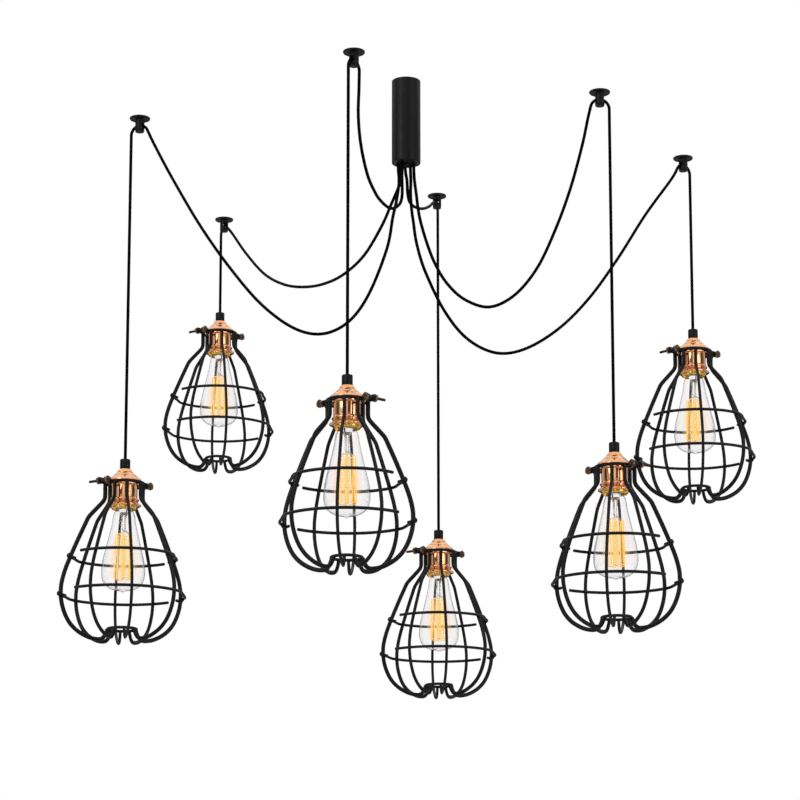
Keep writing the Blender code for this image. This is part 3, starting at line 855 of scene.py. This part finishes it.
# Each band goes round four uprights; its hooked end is given away from the axis, past the last upright, down
bandPlan = {
    "drops": (110, 166),
    "wires": 4,
    "tail": 26,
    "bite": 1.5,
    "flat": 5.2,
    "stopShort": 6,
    "steps": 40,
    "hookStep": 0.7,
    "hookAway": (1.0, 0.6, -0.7, -1.7),
    "hookPast": (0, 0.95, 0.8, -0.4),
    "hookDown": (0, 1.4, 2.6, 2.8),
    "knotAway": 1.9,
    "knotPast": 2.1,
    "knotDown": 0.6,
}

collarPlan = {
    "radius": 27.49,
    "steps": 40,
    "splitAngle": 150,
    "splitGap": 7.0,
    "earThickness": 2.6,
    "earReach": 16.5,
    "earSkew": -20,
    "earHalfHeight": 4.5,
    "earSteps": 12,
    "earEdge": 0.4,
}

# Fused beads: their size before they are stretched, how far out and down they sit, and their stretches
weldPlan = {
    "radius": 1.76,
    "collarOut": 0.7,
    "collarDown": 2.2,
    "footOut": 0.8,
    "footDown": 1.6,
    "collar": (1.3, 1.3, 1.1),
    "foot": (1.3, 1.3, 1.0),
    "band": (1.1, 1.1, 1.3),
    "knot": (2.4, 2.4, 2.5),
}


def facing(degrees):
    angle = math.radians(degrees)
    return Vector((math.cos(angle), -math.sin(angle), 0))


def growing(degrees):
    angle = math.radians(degrees)
    return Vector((-math.sin(angle), -math.cos(angle), 0))


# An upright is oval: deeper than it is wide
def uprightWire(name):
    depth = cagePlan["uprightDepth"]
    route = [Vector((out * mm, 0, height * mm)) for out, height in cagePlan["outline"]]
    points = smoothPoints(route, cagePlan["outlineStep"] * mm)
    wire = tubeAlong(points, depth / 2 * mm, name, cagePlan["sides"])
    wire.scale.y = cagePlan["uprightWidth"] / depth
    return applyPlace(wire)


# How far out the uprights lie at a drop under the collar
def outAtDrop(drop):
    outline = cagePlan["outline"]
    for before, after in zip(outline, outline[1:]):
        if -after[1] >= drop >= -before[1]:
            share = (drop + before[1]) / (before[1] - after[1])
            return before[0] + (after[0] - before[0]) * share
    return outline[-1][0]


# A band goes round the outside of its uprights, flatter before the last one, and hooks round that
def bandWire(drop, half, name):
    plan = bandPlan
    held = cagePlan["angles"][half * plan["wires"]:(half + 1) * plan["wires"]]
    seat = outAtDrop(drop)
    outPitch = cagePlan["uprightDepth"] / 2 + cagePlan["wire"] - plan["bite"]
    roundPitch = cagePlan["uprightWidth"] / 2 + cagePlan["wire"] - plan["bite"] / 2
    out = seat + outPitch
    start = held[0] + math.degrees(plan["tail"] / out)
    sweep = held[-1] + plan["stopShort"] - start
    points = []
    for count in range(plan["steps"] + 1):
        angle = start + sweep * count / plan["steps"]
        share = max(0.0, (held[-2] - angle) / (held[-2] - held[-1]))
        flat = plan["flat"] * math.sin(math.pi * share) ** 2
        points.append((facing(angle) * (out - flat) + down(drop)) * mm)
    for away, past, lower in zip(plan["hookAway"], plan["hookPast"], plan["hookDown"]):
        spot = facing(held[-1]) * (seat + away * outPitch) - growing(held[-1]) * past * roundPitch
        points.append((spot + down(drop + lower)) * mm)
    bent = len(plan["hookAway"]) + 2
    points = points[:-bent] + smoothPoints(points[-bent:], plan["hookStep"] * mm)
    return tubeAlong(points, cagePlan["wire"] * mm, name, cagePlan["sides"])


def collarHalf(name):
    plan = collarPlan
    trim = math.degrees((plan["splitGap"] + plan["earThickness"]) / 2 / plan["radius"])
    start = plan["splitAngle"] - trim
    sweep = 180 - 2 * trim
    points = []
    for count in range(plan["steps"] + 1):
        points.append(facing(start - sweep * count / plan["steps"]) * plan["radius"] * mm)
    return tubeAlong(points, cagePlan["wire"] * mm, name, cagePlan["sides"])


# One ear of the collar: a flat lug with a round end, bent a little out of the collar's own direction
def collarEar(name, side):
    plan = collarPlan
    half = plan["earHalfHeight"]
    near = plan["splitGap"] / 2
    middle = near + plan["earThickness"] / 2
    inner = -side * middle * math.sin(math.radians(plan["earSkew"])) - cagePlan["wire"] / 2
    centre = plan["earReach"] - half
    outline = [(inner, -half)]
    for count in range(plan["earSteps"] + 1):
        turn = math.pi * count / plan["earSteps"]
        outline.append((centre + half * math.sin(turn), -half * math.cos(turn)))
    outline.append((inner, half))
    points = [(out * mm, side * near * mm, height * mm) for out, height in outline]
    ear = drawLine(points, name, closed=True)
    thick = (0, side * plan["earThickness"] * mm, 0)
    bpy.ops.object.mode_set(mode="EDIT")
    bpy.ops.mesh.select_all(action="SELECT")
    bpy.ops.mesh.edge_face_add()
    bpy.ops.mesh.extrude_region_move(TRANSFORM_OT_translate={"value": thick})
    softenEdges(faceOutwards(ear), plan["earEdge"])
    ear.rotation_euler.z = -math.radians(plan["splitAngle"] + plan["earSkew"])
    ear.location = facing(plan["splitAngle"]) * plan["radius"] * mm
    return applyPlace(ear)


# A weld: a small fused bead where two wires touch
def weldBead(name, spot, kind):
    deselectAll()
    bpy.ops.mesh.primitive_uv_sphere_add(segments=16, ring_count=10, radius=weldPlan["radius"] * mm,
                                         location=spot * mm)
    bead = bpy.context.object
    bead.name = name
    bead.scale = weldPlan[kind]
    return shadeSmooth(applyPlace(bead), 180)


def bothHalves(pattern):
    return [pattern, placeCopy(pattern, f"{pattern.name}Copy", (0, 0, 0), math.pi)]


def buildUprights():
    plan = weldPlan
    collar = collarPlan["radius"] + plan["collarOut"]
    foot = cagePlan["footRadius"] + plan["footOut"]
    footDrop = cagePlan["footDrop"] + plan["footDown"]
    upright = uprightWire("upright")
    pieces = []
    for index, angle in enumerate(cagePlan["angles"]):
        pieces.append(placeCopy(upright, f"upright{index}", (0, 0, 0), -math.radians(angle)))
        top = facing(angle) * collar + down(plan["collarDown"])
        pieces.append(weldBead(f"collarWeld{index}", top, "collar"))
        pieces.append(weldBead(f"footWeld{index}", facing(angle) * foot + down(footDrop), "foot"))
    bpy.data.objects.remove(upright)
    return pieces


def buildBands(drop):
    angles = cagePlan["angles"]
    pieces = [bandWire(drop, half, f"band{drop}half{half}") for half in (0, 1)]
    seat = outAtDrop(drop) + cagePlan["uprightDepth"] / 2 - bandPlan["bite"] / 2
    for index, angle in enumerate(angles):
        pieces.append(weldBead(f"weld{drop}at{index}", facing(angle) * seat + down(drop), "band"))
    for angle in angles[bandPlan["wires"] - 1::bandPlan["wires"]]:
        away = facing(angle) * (outAtDrop(drop) + bandPlan["knotAway"])
        spot = away - growing(angle) * bandPlan["knotPast"] + down(drop + bandPlan["knotDown"])
        pieces.append(weldBead(f"knot{drop}at{angle}", spot, "knot"))
    return pieces


def buildFootRing():
    points = []
    for count in range(cagePlan["footSteps"]):
        out = facing(360 * count / cagePlan["footSteps"]) * cagePlan["footRadius"]
        points.append((out + down(cagePlan["footDrop"])) * mm)
    return tubeAlong(points, cagePlan["wire"] * mm, "footRing", cagePlan["sides"], closed=True)


def addCages(material):
    pieces = buildUprights()
    for drop in bandPlan["drops"]:
        pieces.extend(buildBands(drop))
    pieces.extend(bothHalves(collarHalf("collarHalf")))
    for side in (-1, 1):
        pieces.extend(bothHalves(collarEar(f"ear{side + 1}", side)))
    pattern = joinPieces([*pieces, buildFootRing()], "cagePattern")
    for arm in arms:
        turn = math.radians(cagePlan["turns"][arm - 1])
        cage = placeCopy(pattern, f"cage{arm}", collarSpot(arm), turn, arm in mirroredArms)
        dress(cage, material, f"guard_{arm}", f"cage_{arm}")
    bpy.data.objects.remove(pattern)


# Clamp bolts

# The bolt is built along Z and then laid along Y with its head at +Y; the shares are of a head or nut
boltPlan = {
    "seat": 11.5,
    "seatGap": 0.3,
    "headAcross": 6.1,
    "headHeight": 3.0,
    "nutAcross": 5.7,
    "nutHeight": 3.4,
    "faceShare": 0.84,
    "cornerShare": 1.02,
    "chamferShare": 0.14,
    "washer": 5.4,
    "washerHeight": 0.6,
    "washerEdge": 0.15,
    "length": 33.0,
    "shankEdge": 0.4,
    "thread": 2.0,
    "core": 1.65,
    "pitch": 0.8,
    "threadSteps": 20,
}


# A hexagon with the corners of its two faces turned off
def hexPiece(name, across, height, place):
    face = across * boltPlan["faceShare"]
    corner = across * boltPlan["cornerShare"]
    top = height / 2
    shoulder = top - height * boltPlan["chamferShare"]
    profile = ((0, top), (face, top), (corner, shoulder), (corner, -shoulder), (face, -top), (0, -top))
    chamfers = turnProfile(profile, "chamfers")
    chamfers.location = place
    hexagon = addCylinder(name, 6, across, height, place)
    return shadeSmooth(cutWith(hexagon, applyPlace(chamfers), "INTERSECT"), 25)


def threadedRod(name, start, length):
    core = boltPlan["core"]
    pitch = boltPlan["pitch"]
    profile = ((core, 0), (boltPlan["thread"], pitch / 2), (core, pitch))
    ridge = drawLine([(out * mm, 0, height * mm) for out, height in profile], name)
    turns = ridge.modifiers.new("thread", "SCREW")
    turns.screw_offset = pitch * mm
    turns.iterations = int(length / pitch) - 1
    turns.steps = boltPlan["threadSteps"]
    turns.render_steps = boltPlan["threadSteps"]
    turns.use_merge_vertices = True
    turns.merge_threshold = mergeWithin
    applyAll(ridge)
    middle = addCylinder("core", 24, core, length, (0, 0, length / 2 * mm))
    rod = joinPieces([softenEdges(middle, boltPlan["shankEdge"]), ridge], name)
    rod.location = (0, 0, start * mm)
    return shadeSmooth(applyPlace(rod), 30)


def buildBolt():
    plan = boltPlan
    washer = plan["washerHeight"]
    inner = collarPlan["splitGap"] / 2 + collarPlan["earThickness"] + plan["seatGap"]
    outer = inner + washer
    headPlace = (0, 0, -(outer + plan["headHeight"] / 2) * mm)
    nutPlace = (0, 0, (outer + plan["nutHeight"] / 2) * mm)
    pieces = [hexPiece("boltHead", plan["headAcross"], plan["headHeight"], headPlace),
              hexPiece("boltNut", plan["nutAcross"], plan["nutHeight"], nutPlace)]
    for side in (-1, 1):
        disc = addCylinder("washer", 32, plan["washer"], washer, (0, 0, side * (inner + washer / 2) * mm))
        pieces.append(softenEdges(disc, plan["washerEdge"]))
    pieces.append(threadedRod("boltShank", -outer, plan["length"] + washer))
    bolt = joinPieces(pieces, "boltPattern")
    bolt.rotation_euler.x = math.pi / 2
    return applyPlace(bolt)


def addBolts(material):
    pattern = buildBolt()
    for arm in arms:
        side = -1 if arm in mirroredArms else 1
        cageTurn = Matrix.Rotation(math.radians(cagePlan["turns"][arm - 1]), 3, "Z")
        for half in (0, 1):
            angle = collarPlan["splitAngle"] + 180 * half
            bent = angle + collarPlan["earSkew"]
            spot = (facing(angle) * collarPlan["radius"] + facing(bent) * boltPlan["seat"]) * mm
            headWay = -growing(bent) * (1 - 2 * half)
            spot = cageTurn @ Vector((side * spot.x, spot.y, 0))
            headWay = cageTurn @ Vector((side * headWay.x, headWay.y, 0))
            turn = math.atan2(-headWay.x, headWay.y)
            label = "left" if spot.x < 0 else "right"
            bolt = placeCopy(pattern, f"clampBolt{label.title()}{arm}", collarSpot(arm) + spot, turn)
            dress(bolt, material, f"guard_{arm}", f"clamp_bolt_{label}_{arm}")
    bpy.data.objects.remove(pattern)


# Lampholders

# Profiles of (radius, height), heights counted from the collar; the mouth's part is polished brass
holderPlan = {
    "cap": ((0, 21.0), (8.6, 21.0), (9.3, 20.8), (9.7, 20.3), (10.0, 19.4), (11.3, 17.2), (11.5, 16.6),
            (11.2, 16.2), (11.2, 15.8), (12.2, 15.6), (13.0, 15.2), (16.9, 11.6), (17.3, 11.0), (17.2, 10.6),
            (17.3, 10.3), (18.3, 10.1), (19.0, 9.6), (22.9, 6.4), (23.6, 5.8), (24.0, 5.0), (24.0, -2.9),
            (23.8, -3.4), (23.2, -3.5), (20.2, -3.5), (19.6, -3.9)),
    "body": ((18.9, -4.5), (18.9, -20.6), (18.5, -21.3), (18.5, -22.1), (19.1, -22.7), (20.4, -23.3),
             (21.0, -24.2), (21.2, -25.0), (21.0, -25.8), (20.4, -26.7), (19.5, -27.2), (19.3, -27.9),
             (19.8, -28.9), (21.0, -30.0), (23.0, -31.4), (24.1, -32.3), (24.5, -33.1), (24.3, -33.9),
             (23.5, -34.4), (20.4, -35.0)),
    "mouth": ((19.7, -35.2), (19.3, -35.6), (19.4, -36.3), (19.1, -37.3), (18.4, -38.5), (17.5, -39.3),
              (16.8, -39.4), (16.3, -38.9), (16.2, -36.8), (15.7, -35.9), (15.7, -35.0), (16.3, -34.2),
              (15.7, -33.4), (15.7, -32.6), (16.3, -31.8), (15.7, -31.0), (15.3, -29.9), (14.2, -29.6),
              (14.2, -13.2), (0, -13.2)),
    "grip": ((3.6, 36.3), (6.3, 36.3), (7.1, 36.0), (7.5, 35.4), (7.6, 34.7), (7.6, 22.1), (7.4, 21.6),
             (6.9, 21.3), (0, 21.3)),
    "gripBore": ((0, 30.0), (2.9, 30.0), (2.9, 33.6), (3.2, 35.6)),
    "steps": 96,
}


# Below a height the holder takes its second material
def paintMouth(holder, height):
    for face in holder.data.polygons:
        if face.center.z < height:
            face.material_index = 1


def addLampholders(copper, brass, black):
    whole = holderPlan["cap"] + holderPlan["body"] + holderPlan["mouth"]
    pattern = turnProfile(whole, "holderPattern", holderPlan["steps"], 30)
    gripPattern = turnProfile(holderPlan["grip"] + holderPlan["gripBore"], "gripPattern", soft=40)
    for arm in arms:
        holder = placeCopy(pattern, f"lampHolder{arm}", collarSpot(arm))
        dress(holder, copper, f"pendant_{arm}", f"lamp_holder_{arm}")
        holder.data.materials.append(brass)
        paintMouth(holder, collarSpot(arm).z + holderPlan["mouth"][0][1] * mm)
        grip = placeCopy(gripPattern, f"cordGrip{arm}", collarSpot(arm))
        dress(grip, black, f"pendant_{arm}", f"cord_grip_{arm}")
    bpy.data.objects.remove(pattern)
    bpy.data.objects.remove(gripPattern)


# Bulbs

# Places are (radius, height), heights counted from the collar; strands and supports stand in a ring
bulbPlan = {
    "glass": ((12.2, -37.5), (12.8, -40.2), (14.2, -43.4), (15.6, -47.0), (16.6, -53.0), (17.8, -61.0),
              (20.2, -72.0), (23.6, -86.5), (27.0, -100.5), (29.6, -111.5), (31.3, -121.0), (32.0, -130.0),
              (31.8, -137.0), (30.4, -144.0), (27.4, -150.0), (22.4, -154.7), (15.6, -157.9), (9.2, -159.2),
              (5.2, -159.6), (3.6, -160.1), (3.0, -161.0), (2.5, -162.0), (1.4, -162.8), (0, -163.0)),
    "glassStep": 2.0,
    "wall": 0.7,
    "steps": 72,
    "cap": ((0, -13.6), (4.6, -13.6), (4.9, -14.2), (5.2, -15.0), (9.0, -17.2), (11.8, -17.8)),
    "capTurns": 7,
    "capPitch": 2.7,
    "capThread": ((12.2, 0.5), (12.9, 1.2), (12.9, 1.8), (12.2, 2.5)),
    "capEnd": ((12.8, -37.6), (12.9, -39.3), (12.3, -39.6), (11.6, -39.3), (11.6, -37.8), (0, -37.8)),
    "stem": ((0, -40.0), (9.0, -40.0), (7.4, -43.0), (4.6, -47.5), (3.4, -52.0), (3.1, -58.0), (3.0, -66.0),
             (3.2, -68.5), (2.6, -70.5), (1.3, -72.0), (1.2, -100.0), (1.2, -138.0), (1.9, -139.2),
             (2.1, -140.6), (1.5, -141.8), (0, -142.2)),
    # The next two profiles are shells that carry the painted glare round the filament
    "glowShell": ((0, -74), (8, -75), (13.5, -79), (17.5, -88), (20, -100), (21, -112), (20.5, -126), (18, -138),
             (12.5, -145), (6, -148.5), (0, -149)),
    "centre": ((0, -77), (1.8, -77.4), (3.6, -80), (4.8, -86), (5.2, -96), (5.2, -122), (4.8, -132),
               (3.6, -138), (1.8, -140.6), (0, -141)),
}

filamentPlan = {
    "strands": 8,
    "wire": 0.75,
    "step": 4.0,
    "top": (11.6, -77.0),
    "bottom": (13.0, -142.0),
    "supportWire": 0.28,
    "supportStep": 1.2,
    "pastStrand": (0.3, 0.4),
    "topSupport": ((1.0, -71.5), (4.0, -73.4), (8.0, -74.8)),
    "bottomSupport": ((0.8, -140.6), (3.4, -143.2), (6.6, -143.6)),
    "leadWire": 0.4,
    "leadStep": 1.5,
    "lead": ((2.0, -44), (1.8, -56), (1.9, -68)),
    "leadEnd": (5.0, -72.5),
}


def buildGlass():
    route = [Vector((out, 0, height)) for out, height in bulbPlan["glass"]]
    fine = [(point.x, point.z) for point in smoothPoints(route, bulbPlan["glassStep"])]
    fine[-1] = (0, fine[-1][1])
    glass = turnProfile(fine, "glassPattern", bulbPlan["steps"], 180)
    wall = glass.modifiers.new("wall", "SOLIDIFY")
    wall.thickness = bulbPlan["wall"] * mm
    wall.offset = -1
    return shadeSmooth(faceOutwards(applyAll(glass)), 60)


def buildBulbCap():
    profile = list(bulbPlan["cap"])
    top = profile[-1][1]
    for turn in range(bulbPlan["capTurns"]):
        start = top - turn * bulbPlan["capPitch"]
        profile.extend((out, start - drop) for out, drop in bulbPlan["capThread"])
    profile.extend(bulbPlan["capEnd"])
    return turnProfile(profile, "bulbCapPattern", soft=50)


def ringPoint(place, turn):
    return Vector((math.cos(turn) * place[0], math.sin(turn) * place[0], place[1])) * mm


# The turn of a strand's upper or lower end; the lower one stands a little further round
def strandTurn(index, upper):
    count = filamentPlan["strands"]
    return math.tau * index / count + (0 if upper else math.pi / count / 2)


# One continuous filament, up and down between the hooks of two supports
def buildFilament():
    points = []
    for index in range(filamentPlan["strands"]):
        top = ringPoint(filamentPlan["top"], strandTurn(index, True))
        bottom = ringPoint(filamentPlan["bottom"], strandTurn(index, False))
        points.extend([top, bottom] if index % 2 == 0 else [bottom, top])
    fine = [points[0]]
    for before, after in zip(points, points[1:]):
        pieces = max(2, round((after - before).length / (filamentPlan["step"] * mm)))
        fine.extend(before.lerp(after, count / pieces) for count in range(1, pieces + 1))
    return tubeAlong(fine, filamentPlan["wire"] * mm, "filamentPattern", 8)


# Every other strand is held at its top, the rest at their bottoms
def buildSupport(index):
    plan = filamentPlan
    upper = index % 2 == 1
    label = "top" if upper else "bottom"
    past, over = plan["pastStrand"]
    radius, height = plan[label]
    end = (radius + past, height + over if upper else height - over)
    route = [ringPoint(place, strandTurn(index, True)) for place in plan[label + "Support"]]
    route.append(ringPoint(end, strandTurn(index, upper)))
    points = smoothPoints(route, plan["supportStep"] * mm)
    return tubeAlong(points, plan["supportWire"] * mm, f"{label}Support{index}", 6)


# A lead comes out of the stem to one side and runs to the first or the last strand
def buildLead(side, index):
    plan = filamentPlan
    turn = strandTurn(index, True)
    route = [Vector((side * out, 0, height)) * mm for out, height in plan["lead"]]
    route.extend([ringPoint(plan["leadEnd"], turn), ringPoint(plan["top"], turn)])
    return tubeAlong(smoothPoints(route, plan["leadStep"] * mm), plan["leadWire"] * mm, f"lead{index}", 8)


def buildSupports():
    last = filamentPlan["strands"] - 1
    pieces = [buildSupport(index) for index in range(filamentPlan["strands"])]
    return joinPieces([*pieces, buildLead(1, 0), buildLead(-1, last)], "supportPattern")


def addBulbs(nickel):
    patterns = {
        "bulbGlass": (buildGlass(), makeGlass("clearGlass")),
        "bulbCap": (buildBulbCap(), nickel),
        "bulbStem": (turnProfile(bulbPlan["stem"], "stemPattern", 32, 60), makeGlass("stemGlass")),
        "bulbFilament": (buildFilament(), makeFilament()),
        # The next two pieces are painted glare: glowing shells round the filament
        "bulbGlowShell": (turnProfile(bulbPlan["glowShell"], "glowShellPattern", 32, 180), makePaintedGlow("paintedGlowWide")),
        "bulbGlowCore": (turnProfile(bulbPlan["centre"], "glowCorePattern", 24, 180), makePaintedGlow("paintedGlowCore")),
        "bulbSupports": (buildSupports(), nickel),
    }
    for arm in arms:
        for name, (pattern, material) in patterns.items():
            piece = placeCopy(pattern, f"{name}{arm}", collarSpot(arm))
            replaced = f"bulb_{arm}" if name == "bulbGlass" else None
            dress(piece, material, f"lamp_{arm}", replaced)
    for pattern, material in patterns.values():
        bpy.data.objects.remove(pattern)


# Ceiling hooks and canopy

# Profiles of (radius, height); the hole is turned about its own middle and laid across the stem
hookPlan = {
    "profile": ((0, 0), (14.9, 0), (15.4, -0.4), (15.5, -1.0), (15.4, -1.7), (14.8, -2.7), (13.8, -3.1),
                (8.8, -3.2), (7.6, -3.6), (7.1, -4.4), (7.0, -5.4), (7.0, -19.8), (6.8, -20.2), (6.3, -20.4),
                (6.3, -21.0), (6.7, -21.3), (6.8, -21.8), (6.2, -22.4), (5.0, -22.7), (0, -22.7)),
    "steps": 64,
    "hole": ((0, -9.0), (6.7, -9.0), (5.5, -7.0), (4.0, -5.0), (3.3, -3.0), (3.1, -1.0), (3.1, 1.0),
             (3.3, 3.0), (4.0, 5.0), (5.5, 7.0), (6.7, 9.0), (0, 9.0)),
    "holeSteps": 32,
}


def addHooks(material):
    pattern = turnProfile(hookPlan["profile"], "hookPattern", hookPlan["steps"], 40)
    cutter = turnProfile(hookPlan["hole"], "hookHole", hookPlan["holeSteps"], 60)
    cutter.rotation_euler.y = math.pi / 2
    cutter.location.z = -cordPlan["holeDrop"]
    shadeSmooth(cutWith(pattern, applyPlace(cutter)))
    for arm in arms:
        place = hookSpot(arm)
        hook = placeCopy(pattern, f"ceilingHook{arm}", place, math.atan2(place.y, place.x))
        dress(hook, material, "root", f"ceiling_hook_{arm}")
    bpy.data.objects.remove(pattern)


canopyPlan = {
    "profile": ((19.3, -0.3), (20.4, -0.3), (20.7, -0.6), (20.7, -122.8), (20.6, -123.4), (20.2, -123.9),
                (19.6, -124.0), (2.4, -124.0), (2.4, -122.6), (18.7, -122.6), (19.3, -122.0)),
    "steps": 96,
    "holeRadius": 2.8,
    "holeDepth": 8.0,
    "nut": ((2.1, -124.3), (4.0, -124.3), (4.2, -124.7), (4.2, -126.8), (3.9, -127.7), (3.1, -128.6),
            (1.8, -129.6), (0, -130.2), (0, -128.8), (2.1, -128.8)),
}


def addCanopy(black):
    cup = turnProfile(canopyPlan["profile"], "canopyCup", canopyPlan["steps"])
    for arm in arms:
        place = cordHole(arm) + down(cordPlan["canopyDrop"])
        cutWith(cup, addCylinder("hole", 24, canopyPlan["holeRadius"], canopyPlan["holeDepth"], place))
    dress(shadeSmooth(cup), black, "root", "canopy_cup")
    nut = turnProfile(canopyPlan["nut"], "canopyNut")
    dress(nut, black, "root", "canopy_nut")


# The bracket and the block inside the canopy keep their solids and only get a finish
def finishInside():
    for name, finish in (("ceiling_bracket", "zincPlate"), ("terminal_block", "whitePorcelain")):
        kept = frame["nodes"][name].data.materials
        kept.clear()
        kept.append(makeBlotched(finish))


print("stage: camera, light and floor")
bpy.context.scene.view_settings.view_transform = "Standard"
addCamera()
addLights()
addWorld()
addFloor()

blackPaint = makeBlackPaint()

print("stage: cords")
addCords(makeSheath())

print("stage: cages")
addCages(blackPaint)

print("stage: clamp bolts")
addBolts(makeBlotched("wornBronze"))

print("stage: lampholders")
addLampholders(makeSpun("spunCopper"), makeSpun("polishedBrass"), blackPaint)

print("stage: bulbs")
addBulbs(makeBlotched("nickelWire"))

print("stage: ceiling hooks and canopy")
addHooks(blackPaint)
addCanopy(blackPaint)
finishInside()
